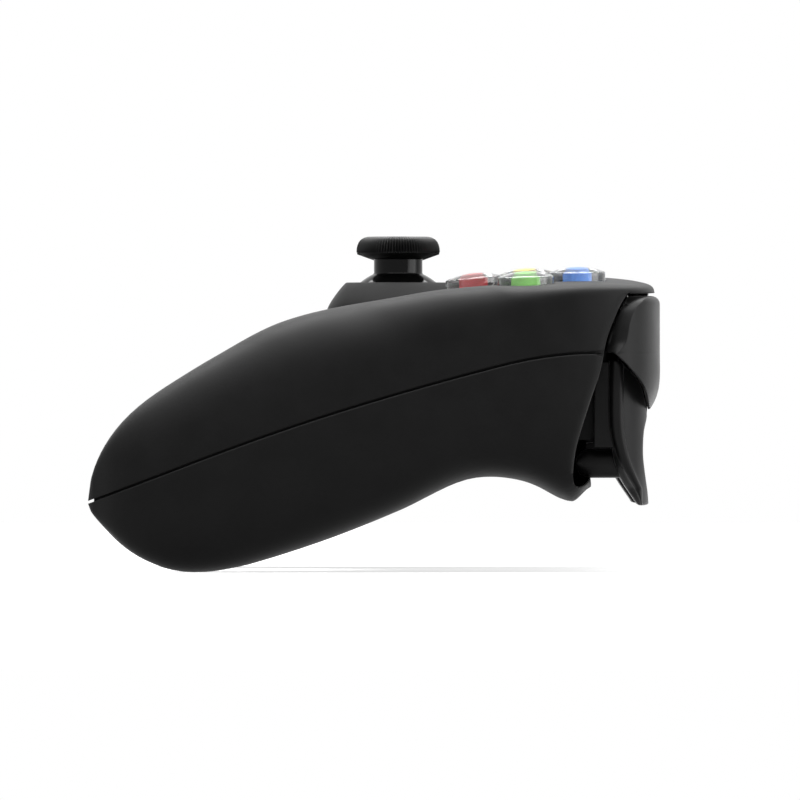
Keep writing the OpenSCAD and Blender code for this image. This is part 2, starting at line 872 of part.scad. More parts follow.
module stick_post(side) color(case_color)
    stick_place(side) {
        difference() {
            translate([0, 0, pivot_height]) sphere(dome_radius);
            translate([0, 0, pivot_height]) sphere(dome_radius - dome_wall);
            translate([0, 0, pivot_height - 2 * dome_radius])
                cylinder(h = dome_radius * (2 + cos(dome_reach)), r = dome_radius + 1);
        }
        translate([0, 0, pivot_height - foot_drop])
            cylinder(h = dome_radius + foot_drop - dome_wall / 2, r = post_thin);
        translate([0, 0, pivot_height - foot_drop]) cylinder(h = foot_height, r = foot_radius);
        translate([0, 0, pivot_height + dome_radius - dome_wall])
            cylinder(h = cap_under - seat_gap / 2 - pivot_height - dome_radius + dome_wall, r = stem_radius);
        translate([0, 0, cap_under - 1]) cylinder(h = spigot_height + 1, r = spigot_radius);
        translate([0, 0, pivot_height])
            rotate([90, 0, 0]) cylinder(h = 2 * ring_outer, r = cross_pin, center = true);
    }

module stick_ring(side) color(metal_color)
    stick_place(side)
        translate([0, 0, pivot_height])
            difference() {
                union() {
                    cylinder(h = ring_height, r = ring_outer, center = true);
                    rotate([0, 90, 0]) cylinder(h = 2 * frame_half, r = ring_shaft, center = true);
                }
                cylinder(h = ring_height + 1, r = ring_inner, center = true);
                rotate([90, 0, 0]) cylinder(h = 3 * ring_outer, r = cross_pin + shaft_gap, center = true);
            }

module stick_frame(side) color(metal_color)
    stick_place(side)
        difference() {
            translate([-frame_half, -frame_half, board_top])
                cube([2 * frame_half, 2 * frame_half, frame_top - board_top]);
            translate([frame_wall - frame_half, frame_wall - frame_half, board_top + frame_floor])
                cube([2 * (frame_half - frame_wall), 2 * (frame_half - frame_wall), 20]);
            translate([0, 0, pivot_height])
                rotate([0, 90, 0]) cylinder(h = 4 * frame_half, r = ring_shaft + shaft_gap, center = true);
        }

curl_rings = 8;
stick_curls = 3;
stick_coil = 2;
stick_wire = 0.2;
stick_spring_foot = board_top + frame_floor + stick_wire + seat_gap;
stick_spring_head = pivot_height - foot_drop - stick_wire - seat_gap;
stick_spring_path = [for (i = [0 : stick_curls * curl_rings])
    [stick_coil * cos(360 * i / curl_rings), stick_coil * sin(360 * i / curl_rings),
        stick_spring_foot + (stick_spring_head - stick_spring_foot) * i / (stick_curls * curl_rings)]];
echo(stick_spring_gap = curl_gap(stick_spring_path, curl_rings, stick_wire));

module stick_spring(side) color(metal_color)
    stick_place(side) wire(stick_spring_path, stick_wire);

module right_stick_cap() stick_cap(1);
module right_stick_post() stick_post(1);
module right_stick_ring() stick_ring(1);
module right_stick_frame() stick_frame(1);
module right_stick_spring() stick_spring(1);
module left_stick_cap() stick_cap(-1);
module left_stick_post() stick_post(-1);
module left_stick_ring() stick_ring(-1);
module left_stick_frame() stick_frame(-1);
module left_stick_spring() stick_spring(-1);

// Shoulders: bumper, bracket, trigger, drawn for the right side

shoulder_corner = [half_width - 27.5, 38];
corner_squareness = 2.4;
bumper_side = half_width - 5.9;
bumper_back = 46;
bumper_return = half_width - 10;
// Lower edge of the bumper, over the trigger's brow, as [y, z]
bumper_edge = [[43.4, 39.9], [45.7, 37.8], [48.1, 35.1], [49.3, 33], [50.1, 29.6]];
edge_places = stretch(0, len(bumper_edge) - 1, 8);
bumper_chin = 34;
bumper_pin = [half_width - 13, 44];
bumper_pin_radius = 1;
ear_foot = 43.2;
ear_thickness = 2;
ear_half = 2;

// Rounded outer corner in plan, from the side to the front
function corner_round(side, front) =
    [for (a = stretch(0, 90, 12))
        shoulder_corner + [(side - shoulder_corner.x) * pow(cos(a), 2 / corner_squareness),
            (front - shoulder_corner.y) * pow(sin(a), 2 / corner_squareness)]];

module bumper_plan() {
    difference() {
        polygon(concat(
            corner_round(bumper_side, bumper_front),
            [[bumper_inner, bumper_front], [bumper_inner, shoulder_corner.y]]
        ));
        square([bumper_return, bumper_back]);
    }
}

module bumper_side_view() {
    polygon(concat(
        [for (place = edge_places) curve_point(bumper_edge, place)],
        [[bumper_front, bumper_chin], [bumper_front + 1, bumper_top]],
        [for (z = stretch(bumper_top, bumper_edge[0].y, 4)) [shoulder_y(z) + running_gap, z]]
    ));
}

module bumper() color(case_color)
    union() {
        intersection() {
            linear_extrude(bumper_top) bumper_plan();
            along_x(0, far_out) bumper_side_view();
        }
        translate([bumper_pin.x, bumper_pin.y, ear_foot - 1])
            cylinder(h = ear_thickness + running_gap + 2, r = bumper_pin_radius);
        translate([bumper_pin.x - bumper_pin_radius, bumper_pin.y, ear_foot + ear_thickness + running_gap])
            cube([2 * bumper_pin_radius, bumper_back - bumper_pin.y + 1, 2]);
    }

trigger_outer = half_width - trigger_inset;
trigger_inner = trigger_outer - trigger_width;
arm_inset = 6;
arm_inner = trigger_inner + arm_inset;
arm_outer = trigger_outer - arm_inset;

plate_sink = 1.2;
plate_thickness = 1.6;
plate_foot = 26;
plate_outer = half_width - 10.5;
plate_inner = bumper_inner + 2;
notch_half = 7;
notch_foot = 43.5;
// The plate's outer end stays under the case's rounded corner
plate_corner_top = 46.5;
cheek_thickness = 1.6;
// Front edge of the side cheek, as [y, z]
cheek_front = [[39.2, 24], [39.8, 26], [40.7, 31], [41.8, 36], [42.2, 40]];
ear_back = shoulder_y(ear_foot) - plate_sink - 0.5;
lug_inset = 3;
lug_thickness = 2;
lug_radius = 1.6;

module bracket_plate(from, to, top) {
    along_x(from, to)
        polygon(concat(
            [for (z = stretch(plate_foot, top, 8)) [shoulder_y(z) - plate_sink, z]],
            [for (z = stretch(top, plate_foot, 8)) [shoulder_y(z) - plate_sink - plate_thickness, z]]
        ));
}

module pin_lug(x) {
    along_x(x - lug_thickness / 2, x + lug_thickness / 2) {
        translate([pin_y, pin_z]) circle(lug_radius);
        translate([shoulder_y(pin_z) - plate_sink - 0.5, pin_z - lug_radius])
            square([pin_y - shoulder_y(pin_z) + plate_sink + 0.5, 2 * lug_radius]);
    }
}

// Wall between the case and the trigger, clear of the trigger's back when it is pulled
module side_cheek() {
    along_x(arm_outer + running_gap, arm_outer + running_gap + cheek_thickness)
        polygon(concat(
            cheek_front,
            [for (z = stretch(cheek_front[len(cheek_front) - 1].y, cheek_front[0].y, 8))
                [shoulder_y(z) - plate_sink - plate_thickness / 2, z]]
        ));
}

module bracket() color([0.16, 0.16, 0.17])
    difference() {
        union() {
            bracket_plate(plate_inner, cluster_x - notch_half, lip_under - running_gap);
            bracket_plate(cluster_x - notch_half, cluster_x + notch_half, notch_foot);
            bracket_plate(cluster_x + notch_half, plate_outer, plate_corner_top);
            along_x(shoulder_inner + running_gap, plate_inner)
                polygon([[shoulder_y(plate_foot) - plate_sink - plate_thickness, plate_foot],
                    [bumper_back - 1.4, plate_foot + 8], [bumper_back - 1.4, lip_under - running_gap],
                    [shoulder_y(lip_under) - plate_sink - plate_thickness, lip_under - running_gap]]);
            for (x = [arm_inner + lug_inset, arm_outer - lug_inset]) pin_lug(x);
            side_cheek();
            translate([bumper_pin.x - ear_half, ear_back, ear_foot])
                cube([2 * ear_half, bumper_pin.y + 1.6 - ear_back, ear_thickness]);
        }
        along_x(0, far_out) translate([pin_y, pin_z]) circle(pin_radius + shaft_gap);
        translate([bumper_pin.x, bumper_pin.y, 0])
            cylinder(h = bumper_top, r = bumper_pin_radius + shaft_gap);
    }

bumper_switch_foot = 44;
bumper_switch_width = 6;
bumper_switch_height = 3;
bumper_switch_back = shoulder_y(bumper_switch_foot + bumper_switch_height) - plate_sink + seat_gap;

module bumper_switch() color([0.2, 0.2, 0.22])
    translate([bumper_inner + bumper_switch_width, bumper_switch_back, bumper_switch_foot])
        cube([bumper_switch_width, bumper_back - bumper_travel - seat_gap - bumper_switch_back,
            bumper_switch_height]);

hub_radius = 1.9;
trigger_tip = 12.6;
trigger_brow = 28.6;
trigger_head = 38.6;
trigger_nose = 50.2;
brow_gap = [0.5, 0.4];
// Front and back of the trigger, as [z, y]
trigger_front = [[12.6, 49.8], [14.5, 49.9], [22.2, 48.7], [28.6, 49.2]];
trigger_rear = [[12.6, 47.6], [19.5, 44.6], [25.8, 43.3], [31.3, 42.6], [38.6, 42.7]];
arm_end = 36.6;
arm_under = 17.1;
arm_height = 5.3;
hub_cut = 2.9;
hub_wall = 1.6;
hub_inner = arm_inner + hub_wall;
hub_outer = arm_outer - hub_wall;
bore_wall = 0.6;
bore_from = arm_inner + bore_wall;
bore_to = arm_outer - bore_wall;

module trigger_outline() {
    tip_radius = (line_height(trigger_front, trigger_tip) - line_height(trigger_rear, trigger_tip)) / 2;
    brow = [for (place = edge_places) curve_point(bumper_edge, len(bumper_edge) - 1 - place) - brow_gap];
    polygon(concat(
        [for (z = stretch(trigger_tip, trigger_brow, 8)) [line_height(trigger_front, z), z]],
        [for (p = brow) if (p.y < trigger_head) p],
        [for (z = stretch(trigger_head, trigger_tip, 8)) [line_height(trigger_rear, z), z]]
    ));
    translate([line_height(trigger_rear, trigger_tip) + tip_radius, trigger_tip]) circle(tip_radius);
}

module trigger_plan() {
    polygon(concat(
        corner_round(trigger_outer, trigger_nose),
        [[trigger_inner, trigger_nose], [trigger_inner, arm_end], [trigger_outer, arm_end]]
    ));
}

module trigger() color(case_color)
    difference() {
        union() {
            intersection() {
                along_x(trigger_inner, trigger_outer) trigger_outline();
                linear_extrude(pin_z + 20) trigger_plan();
            }
            along_x(arm_inner, arm_outer) {
                translate([pin_y, pin_z]) circle(hub_radius);
                arm_round = arm_height / 2;
                arm_root = line_height(trigger_rear, arm_under + arm_height) + 2;
                translate([arm_end + arm_round, arm_under + arm_round]) circle(arm_round);
                translate([arm_end + arm_round, arm_under])
                    square([arm_root - arm_end - arm_round, arm_height]);
            }
        }
        along_x(hub_inner, hub_outer) translate([pin_y, pin_z]) circle(hub_cut);
        along_x(bore_from, bore_to) translate([pin_y, pin_z]) circle(pin_radius + shaft_gap);
    }

module trigger_pin() color(metal_color)
    along_x(bore_from + seat_gap, bore_to - seat_gap) translate([pin_y, pin_z]) circle(pin_radius);

trigger_curls = 3;
trigger_coil = 1.7;
trigger_wire = 0.25;
coil_length = 4;
coil_from = (arm_inner + arm_outer - coil_length) / 2;
coil_to = coil_from + coil_length;
leg_length = 1.6;
trigger_spring_path = concat(
    [for (drop = [leg_length, leg_length / 2]) [coil_from, pin_y + trigger_coil, pin_z - drop]],
    [for (i = [0 : (trigger_curls + 0.5) * curl_rings])
        let (turn = 360 * i / curl_rings)
        [coil_from + (coil_to - coil_from) * i / ((trigger_curls + 0.5) * curl_rings),
            pin_y + trigger_coil * cos(turn), pin_z + trigger_coil * sin(turn)]],
    [for (drop = [leg_length / 2, leg_length]) [coil_to, pin_y - trigger_coil, pin_z - drop]]
);
echo(trigger_spring_gap = curl_gap(trigger_spring_path, curl_rings, trigger_wire));

module trigger_spring() color(metal_color) wire(trigger_spring_path, trigger_wire);

module right_bumper() bumper();
module right_bumper_switch() bumper_switch();
module right_bracket() bracket();
module right_trigger() trigger();
module right_trigger_pin() trigger_pin();
module right_trigger_spring() trigger_spring();
module left_bumper() left_half() bumper();
module left_bumper_switch() left_half() bumper_switch();
module left_bracket() left_half() bracket();
module left_trigger() left_half() trigger();
module left_trigger_pin() left_half() trigger_pin();
module left_trigger_spring() left_half() trigger_spring();

// Vibration motors, drawn for the right side

motor_shaft = 0.75;
weight_from = motor_inner + motor_length + 1.5;
weight_to = weight_from + 4;
weight_hub = 2;

module motor() color(metal_color)
    along_x(motor_inner, motor_inner + motor_length)
        translate(motor_axis)
            difference() {
                circle(motor_radius);
                circle(motor_shaft + shaft_gap);
            }

module motor_weight() color([0.45, 0.45, 0.47]) {
    along_x(motor_inner + 0.5, weight_to) translate(motor_axis) circle(motor_shaft);
    along_x(weight_from, weight_to)
        translate(motor_axis) {
            circle(weight_hub);
            intersection() {
                circle(weight_radius);
                translate([-weight_radius, -weight_radius]) square([2 * weight_radius, weight_radius]);
            }
        }
}

module right_motor() motor();
module right_motor_weight() motor_weight();
module left_motor() left_half() motor();
module left_motor_weight() left_half() motor_weight();

top_shell();
bottom_shell();
case_screws();
main_board();
board_screws();
battery();
charging_socket();
menu_switches();
select_button();
start_button();
button_mat();
pad_mat();
red_cap();
red_core();
green_cap();
green_core();
yellow_cap();
yellow_core();
blue_cap();
blue_core();
direction_pad();
pad_ball();
pad_post();
right_stick_cap();
right_stick_post();
right_stick_ring();
right_stick_frame();
right_stick_spring();
left_stick_cap();
left_stick_post();
left_stick_ring();
left_stick_frame();
left_stick_spring();
right_bumper();
right_bumper_switch();
right_bracket();
right_trigger();
right_trigger_pin();
right_trigger_spring();
left_bumper();
left_bumper_switch();
left_bracket();
left_trigger();
left_trigger_pin();
left_trigger_spring();
right_motor();
right_motor_weight();
left_motor();
left_motor_weight();
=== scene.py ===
import math

import bmesh
import bpy
import numpy as np
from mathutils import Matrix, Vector


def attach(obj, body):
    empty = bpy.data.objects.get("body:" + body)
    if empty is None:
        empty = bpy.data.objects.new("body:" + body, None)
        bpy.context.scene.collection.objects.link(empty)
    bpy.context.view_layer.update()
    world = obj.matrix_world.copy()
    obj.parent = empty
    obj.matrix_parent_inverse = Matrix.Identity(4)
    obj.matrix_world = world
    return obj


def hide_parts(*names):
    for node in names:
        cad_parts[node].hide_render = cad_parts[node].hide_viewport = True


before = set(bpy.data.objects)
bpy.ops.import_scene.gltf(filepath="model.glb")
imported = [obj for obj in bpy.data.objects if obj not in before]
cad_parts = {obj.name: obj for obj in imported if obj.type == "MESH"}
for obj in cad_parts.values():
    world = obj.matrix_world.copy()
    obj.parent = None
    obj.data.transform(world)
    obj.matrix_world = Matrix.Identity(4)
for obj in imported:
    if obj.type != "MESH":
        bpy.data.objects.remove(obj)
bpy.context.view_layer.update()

# Driving sizes in millimetres, most as in the CAD model. X is the player's right, Y the front, Z up.

MM = 0.001
SIDES = ((1, "right"), (-1, "left"))
HALF_WIDTH = 77.5
CASE_FRONT = 51
GRIP_REACH = 52
CASE_WALL = 2.2
SEAM_GAP = 0.5
TONGUE_HEIGHT = 1.2
TONGUE_INSET = 1.2
TONGUE_GAP = 0.2
BELLY_HEIGHT = 21
STICK = (28, 4.3)
PIVOT_HEIGHT = 44.5
DOME_RADIUS = 10.85
STEM_RADIUS = 4.45
CAP_TOP = 61.2
CAP_RADIUS = 7.65
CAP_RIBS = 90
COLLAR_TOP = 52.8
COLLAR_HOLE = 8.4
COLLAR_FLAT = 9.45
COLLAR_BASE = 13.3
COLLAR_FOOT = 47
CLUSTER = (50, 27.5)
BUTTON_SPREAD = 9.45
BUTTON_RADIUS = 5.1
CORE_RADIUS = 1.85
BUTTON_STAND = 2.45
DPAD_SPAN = 27
DPAD_ARM = 9
PAD_PIVOT = 46.5
PAD_STAND = 1.5
PAD_GAP = 0.9
MENU_X = 11
MENU_RADIUS = 2.6
BUTTON_GAP = 0.35
RUNNING_GAP = 0.4
BUMPER_FRONT = 52
BUMPER_TOP = 50.2
BUMPER_INNER = 24
BUMPER_BACK = 46
BUMPER_RETURN = 67.5
BUMPER_SIDE = 71.6
TRIGGER_INNER = 36
TRIGGER_OUTER = 66
SHOULDER_CORNER = (50, 38)
CORNER_SQUARENESS = 2.4
LIP_UNDER = BUMPER_TOP + 0.6
BOARD_TOP = 38

# Curves through a few chosen points


def hermite(t):
    """Weights of start, start slope, end and end slope at t from 0 to 1."""
    square, cube = t * t, t * t * t
    return 2 * cube - 3 * square + 1, cube - 2 * square + t, 3 * square - 2 * cube, cube - square


def curve_point(points, place):
    """Point on the smooth curve through the list, at a place counted in list steps."""
    last = len(points) - 1
    i = min(int(place), last - 1)

    def slope(k):
        before, after = max(k - 1, 0), min(k + 1, last)
        return [(b - a) / (after - before) for a, b in zip(points[before], points[after])]

    start, start_slope, end, end_slope = hermite(place - i)
    return tuple(
        p * start + s * start_slope + q * end + t * end_slope
        for p, s, q, t in zip(points[i], slope(i), points[i + 1], slope(i + 1))
    )


def line_height(points, x):
    """Height of the smooth line through (x, height) points, at x."""
    last = len(points) - 1
    i = 0
    while i < last - 1 and x >= points[i + 1][0]:
        i += 1

    def rate(k):
        before, after = points[max(k - 1, 0)], points[min(k + 1, last)]
        return (after[1] - before[1]) / (after[0] - before[0])

    span = points[i + 1][0] - points[i][0]
    start, start_slope, end, end_slope = hermite((x - points[i][0]) / span)
    return (
        points[i][1] * start + rate(i) * span * start_slope
        + points[i + 1][1] * end + rate(i + 1) * span * end_slope
    )


def stretch(start, end, steps):
    """Evenly spaced values from start to end."""
    return [start + (end - start) * i / steps for i in range(steps + 1)]


def smooth_line(points, steps):
    """Points along the whole smooth curve through the list."""
    return [curve_point(points, place) for place in stretch(0, len(points) - 1, steps)]


def clamp(value):
    return min(max(value, 0), 1)


def ease(start, end, value):
    """Goes softly from 0 to 1 while the value goes from start to end."""
    t = clamp((value - start) / (end - start))
    return t * t * (3 - 2 * t)


def swell(reach, power):
    """Height of an arch of unit size at a reach from 0 to 1; a higher power makes it squarer."""
    return (1 - reach ** power) ** (1 / power)


# Mesh helpers

# Points this close are joined, in metres: as drawn, and after a cut
DRAWN_TOGETHER = 1e-7
CUT_TOGETHER = 2e-6


def weld(mesh, distance):
    """Joins points within the distance in metres, drops faces without area and turns the rest outward."""
    bm = bmesh.new()
    bm.from_mesh(mesh)
    bmesh.ops.remove_doubles(bm, verts=bm.verts, dist=distance)
    bmesh.ops.dissolve_degenerate(bm, edges=bm.edges, dist=distance)
    stray = [edge for edge in bm.edges if not edge.link_faces]
    bmesh.ops.delete(bm, geom=stray, context="EDGES")
    bmesh.ops.recalc_face_normals(bm, faces=bm.faces)
    bm.to_mesh(mesh)
    bm.free()


def new_object(name, points, faces):
    """A mesh object from points in millimetres, with its faces turned outward and equal points joined."""
    mesh = bpy.data.meshes.new(name)
    mesh.from_pydata([(x * MM, y * MM, z * MM) for x, y, z in points], [], faces)
    weld(mesh, DRAWN_TOGETHER)
    obj = bpy.data.objects.new(name, mesh)
    bpy.context.scene.collection.objects.link(obj)
    return obj


def band_faces(count, loops):
    """Faces between neighbouring loops of equally many points."""
    faces = []
    for k in range(loops - 1):
        for i in range(count):
            j = (i + 1) % count
            faces.append((k * count + i, k * count + j, (k + 1) * count + j, (k + 1) * count + i))
    return faces


def loft(name, rings):
    """A closed solid through rings of equally many points, with flat ends."""
    count = len(rings[0])
    points = [p for ring in rings for p in ring]
    faces = band_faces(count, len(rings))
    last = (len(rings) - 1) * count
    faces.append(tuple(range(count))[::-1])
    faces.append(tuple(last + i for i in range(count)))
    return new_object(name, points, faces)


def full_turn(count):
    return [2 * math.pi * i / count for i in range(count)]


def around(place, radius, turn, z):
    """Point at a turn in radians round the upright axis through the place."""
    return place[0] + radius * math.cos(turn), place[1] + radius * math.sin(turn), z


def lathe(name, profile, place, segments=96):
    """A turned solid from (radius, height) points, the first and last of them at its flat ends."""
    return loft(name, [[around(place, r, a, z) for a in full_turn(segments)] for r, z in profile])


def ring_lathe(name, profile, place, segments=96):
    """A turned ring from a closed (radius, height) outline that stays clear of the axis."""
    count = len(profile)
    points = [around(place, r, a, z) for a in full_turn(segments) for r, z in profile]
    faces = []
    for i in range(segments):
        following = (i + 1) % segments
        for k in range(count):
            m = (k + 1) % count
            faces.append((i * count + k, i * count + m, following * count + m, following * count + k))
    return new_object(name, points, faces)


def rectangle(left, back, right, front):
    return [(left, back), (right, back), (right, front), (left, front)]


def prism_x(name, outline, start, end):
    return loft(name, [[(x, y, z) for y, z in outline] for x in (start, end)])


def prism_z(name, outline, start, end):
    return loft(name, [[(x, y, z) for x, y in outline] for z in (start, end)])


def both_sides(make):
    """The solid that make(side) gives, on the right and on the left."""
    return [make(1), make(-1)]


def combine(obj, operation, tools):
    """Adds the tools' solids to obj or takes them away; the tools are used up."""
    for tool in tools:
        step = obj.modifiers.new(operation, "BOOLEAN")
        step.operation = operation
        step.solver = "EXACT"
        step.object = tool
    graph = bpy.context.evaluated_depsgraph_get()
    mesh = bpy.data.meshes.new_from_object(obj.evaluated_get(graph))
    weld(mesh, CUT_TOGETHER)
    obj.modifiers.clear()
    worn = obj.data
    obj.data = mesh
    bpy.data.meshes.remove(worn)
    for tool in tools:
        bpy.data.objects.remove(tool)


def finish_piece(obj, body, paint, nodes, crease=35):
    """Shades a piece smooth up to the crease angle, paints it and sets it on its body."""
    obj.data.materials.clear()
    obj.data.materials.append(paint)
    for face in obj.data.polygons:
        face.material_index = 0
        face.use_smooth = True
    obj.data.set_sharp_from_angle(angle=math.radians(crease))
    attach(obj, body)
    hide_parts(*nodes)


# Materials

MOTTLE_SCALE = 160
GRAIN_DEPTH = 0.00005
EDGE_SAMPLES = 8

# Parts of a noise value's span over which colour and gloss change
COLOUR_SPAN = (0.35, 0.65)
GLOSS_SPAN = (0.3, 0.7)


def shader_nodes(name):
    paint = bpy.data.materials.new(name)
    paint.use_nodes = True
    nodes, links = paint.node_tree.nodes, paint.node_tree.links
    return paint, nodes, links, nodes["Principled BSDF"]


def noise_node(nodes, links, scale, detail):
    """Noise over the object's own coordinates; scale counts features per metre."""
    place = nodes.new("ShaderNodeTexCoord")
    noise = nodes.new("ShaderNodeTexNoise")
    noise.inputs["Scale"].default_value = scale
    noise.inputs["Detail"].default_value = detail
    links.new(place.outputs["Object"], noise.inputs["Vector"])
    return noise


def ramp_node(nodes, links, source, low, high):
    """Turns a noise value into a colour between low and high."""
    ramp = nodes.new("ShaderNodeValToRGB")
    for stop, position, colour in zip(ramp.color_ramp.elements, COLOUR_SPAN, (low, high)):
        stop.position = position
        stop.color = (*colour, 1)
    links.new(source, ramp.inputs["Fac"])
    return ramp


def range_node(nodes, links, source, low, high):
    """Turns a noise value into a number between low and high."""
    span = nodes.new("ShaderNodeMapRange")
    span.inputs["From Min"].default_value = GLOSS_SPAN[0]
    span.inputs["From Max"].default_value = GLOSS_SPAN[1]
    span.inputs["To Min"].default_value = low
    span.inputs["To Max"].default_value = high
    links.new(source, span.inputs["Value"])
    return span


def plastic(name, dark, light, roughness, grain=0.0, grain_scale=3000, edge=0.0, **sockets):
    """Moulded plastic: mottled colour and gloss, a fine grain, and edges rounded by edge metres."""
    paint, nodes, links, shader = shader_nodes(name)
    mottle = noise_node(nodes, links, MOTTLE_SCALE, detail=3.0).outputs["Fac"]
    colour = ramp_node(nodes, links, mottle, dark, light)
    links.new(colour.outputs["Color"], shader.inputs["Base Color"])
    gloss = range_node(nodes, links, mottle, *roughness)
    links.new(gloss.outputs["Result"], shader.inputs["Roughness"])
    normal = None
    if edge:
        bevel = nodes.new("ShaderNodeBevel")
        bevel.samples = EDGE_SAMPLES
        bevel.inputs["Radius"].default_value = edge
        normal = bevel.outputs["Normal"]
    if grain:
        bump = nodes.new("ShaderNodeBump")
        bump.inputs["Strength"].default_value = grain
        bump.inputs["Distance"].default_value = GRAIN_DEPTH
        links.new(noise_node(nodes, links, grain_scale, detail=2.0).outputs["Fac"], bump.inputs["Height"])
        if normal:
            links.new(normal, bump.inputs["Normal"])
        normal = bump.outputs["Normal"]
    if normal:
        links.new(normal, shader.inputs["Normal"])
    for socket, value in sockets.items():
        shader.inputs[socket.replace("_", " ")].default_value = value
    return paint


def grey(value):
    """A grey with a trace of blue."""
    return (value, value, value * 1.02)


BLACK = (grey(0.003), grey(0.0045))
CORE_COLOURS = {
    "red": ((0.33, 0.020, 0.024), (0.40, 0.030, 0.034)),
    "green": ((0.16, 0.46, 0.07), (0.20, 0.53, 0.10)),
    "yellow": ((0.72, 0.50, 0.06), (0.80, 0.58, 0.09)),
    "blue": ((0.06, 0.20, 0.62), (0.09, 0.25, 0.70)),
}

case_paint = plastic("case_black", *BLACK, (0.48, 0.56), grain=0.25, grain_scale=2600, edge=0.0005,
                     Specular_IOR_Level=0.085, Sheen_Weight=0.12, Sheen_Roughness=0.35)
shoulder_paint = plastic("shoulder_black", *BLACK, (0.36, 0.44), grain=0.2, grain_scale=2600, edge=0.0003,
                         Specular_IOR_Level=0.12, Sheen_Weight=0.1, Sheen_Roughness=0.35)
stick_paint = plastic("stick_gloss_black", grey(0.003), grey(0.004), (0.08, 0.14), grain=0.05,
                      grain_scale=1500, edge=0.0003, Specular_IOR_Level=0.12)
rubber_paint = plastic("rubber_black", grey(0.004), grey(0.006), (0.38, 0.48), grain=0.3,
                       grain_scale=3600, Specular_IOR_Level=0.25)
clear_paint = plastic("clear_cap", (0.93, 0.95, 0.96), (0.97, 0.98, 0.98), (0.02, 0.05),
                      Transmission_Weight=0.94, IOR=1.45)
core_paints = {
    name: plastic("core_" + name, *colours, (0.18, 0.26), grain=0.1, grain_scale=1800)
    for name, colours in CORE_COLOURS.items()
}
bracket_paint = plastic("bracket_black", *BLACK, (0.5, 0.6), grain=0.3, grain_scale=2200,
                        Specular_IOR_Level=0.1)
switch_paint = plastic("switch_grey", grey(0.03), grey(0.045), (0.35, 0.5), grain=0.2, grain_scale=2000)
steel_paint = plastic("steel", (0.52, 0.52, 0.53), (0.62, 0.62, 0.63), (0.22, 0.36), grain=0.1,
                      grain_scale=900, Metallic=1.0)
brass_paint = plastic("brass", (0.55, 0.42, 0.20), (0.66, 0.52, 0.27), (0.25, 0.4), grain=0.1,
                      grain_scale=900, Metallic=1.0)
board_paint = plastic("board_green", (0.006, 0.075, 0.030), (0.012, 0.115, 0.045), (0.25, 0.4), grain=0.3,
                      grain_scale=700)
battery_paint = plastic("battery_foil", (0.20, 0.22, 0.26), (0.30, 0.32, 0.36), (0.25, 0.4), grain=0.5,
                        grain_scale=260, Metallic=0.6)

# Case: plan, seam and heights by the CAD model's formulas; the top face falls more at its sides

GRIP_END = (HALF_WIDTH - 11, -GRIP_REACH)
# Plan of the right half, from the middle of the front and of the rear to the grip's end
OUTER_EDGE = [
    (0, CASE_FRONT - 2),
    (22, CASE_FRONT - 1),
    (42, CASE_FRONT),
    (HALF_WIDTH - 19.5, CASE_FRONT - 0.5),
    (HALF_WIDTH - 9, CASE_FRONT - 4.5),
    (HALF_WIDTH - 3.5, CASE_FRONT - 13),
    (HALF_WIDTH - 1, CASE_FRONT - 29),
    (HALF_WIDTH, 3),
    (HALF_WIDTH - 0.5, -0.31 * GRIP_REACH),
    (HALF_WIDTH - 2, -0.615 * GRIP_REACH),
    (HALF_WIDTH - 5, -0.865 * GRIP_REACH),
    GRIP_END,
]
INNER_SHARES = [
    (0.18, 0.135), (0.316, 0.202), (0.421, 0.288), (0.496, 0.385), (0.564, 0.49), (0.632, 0.606),
    (0.699, 0.721), (0.767, 0.827), (0.842, 0.923), (0.917, 0.985), (1, 1),
]
INNER_EDGE = [(0, -6)] + [(x * GRIP_END[0], y * GRIP_END[1]) for x, y in INNER_SHARES]
# Squareness of the arches' edges, from the middle to the grip's end
FRONT_SQUARENESS = [26, 26, 26, 26, 24, 20, 7, 3.4, 2.8, 2.4, 2.2, 2.2]
REAR_SQUARENESS = [5, 5, 5, 4, 3.2, 2.8, 2.6, 2.5, 2.4, 2.4, 2.2, 2.2]
BOTTOM_SQUARENESS = [6, 6, 6, 6, 6, 5, 4, 3.2, 2.7, 2.4, 2.2, 2.2]
# Seam height, rise above it, depth below it and fall of the top face, as (y, value)
SEAM_LINE = [(-52, 12.7), (-13.5, 26.9), (22.8, 37.5), (36, 39.7), (52, 39.6)]
RISE_LINE = [
    (-52, 18.5), (-36, 16.8), (-17, 19.7), (4.3, 17.6), (27.5, 14.9), (36, 14.3), (44, 13.9), (52, 13.3),
]
DEPTH_LINE = [
    (-52, 8), (-46, 14.4), (-39, 18.1), (-32.5, 20.2), (-24.5, 22.1), (-10, 22.6), (4.6, 21.3),
    (15.5, 19.1), (21, 19.7), (28, 22.4), (35.9, 27), (39.5, 24.5), (52, 22),
]
CROWN_LINE = [(-52, 0), (4, 0), (12, 0.05), (20, 0.6), (27.5, 1.5), (36, 1.6), (44, 1.35), (52, 0.9)]
CROWN_SIDE = HALF_WIDTH - 11.5
GRIP_ROUND = 22
BELLY_FROM, BELLY_TO = 22, 40


def seam_height(y):
    return line_height(SEAM_LINE, y)


def end_round(y):
    """Share of its full height that a shell keeps at y, as the grip's end rounds off."""
    t = max(0, (GRIP_ROUND - GRIP_REACH - y) / GRIP_ROUND)
    return math.sqrt(max(0, 1 - t * t))


def top_height(y):
    return seam_height(y) + line_height(RISE_LINE, y) * end_round(y)


def surface_height(x, y):
    """Top face: it falls from the middle towards the sides by the crown."""
    return top_height(y) - line_height(CROWN_LINE, y) * (x / CROWN_SIDE) ** 2


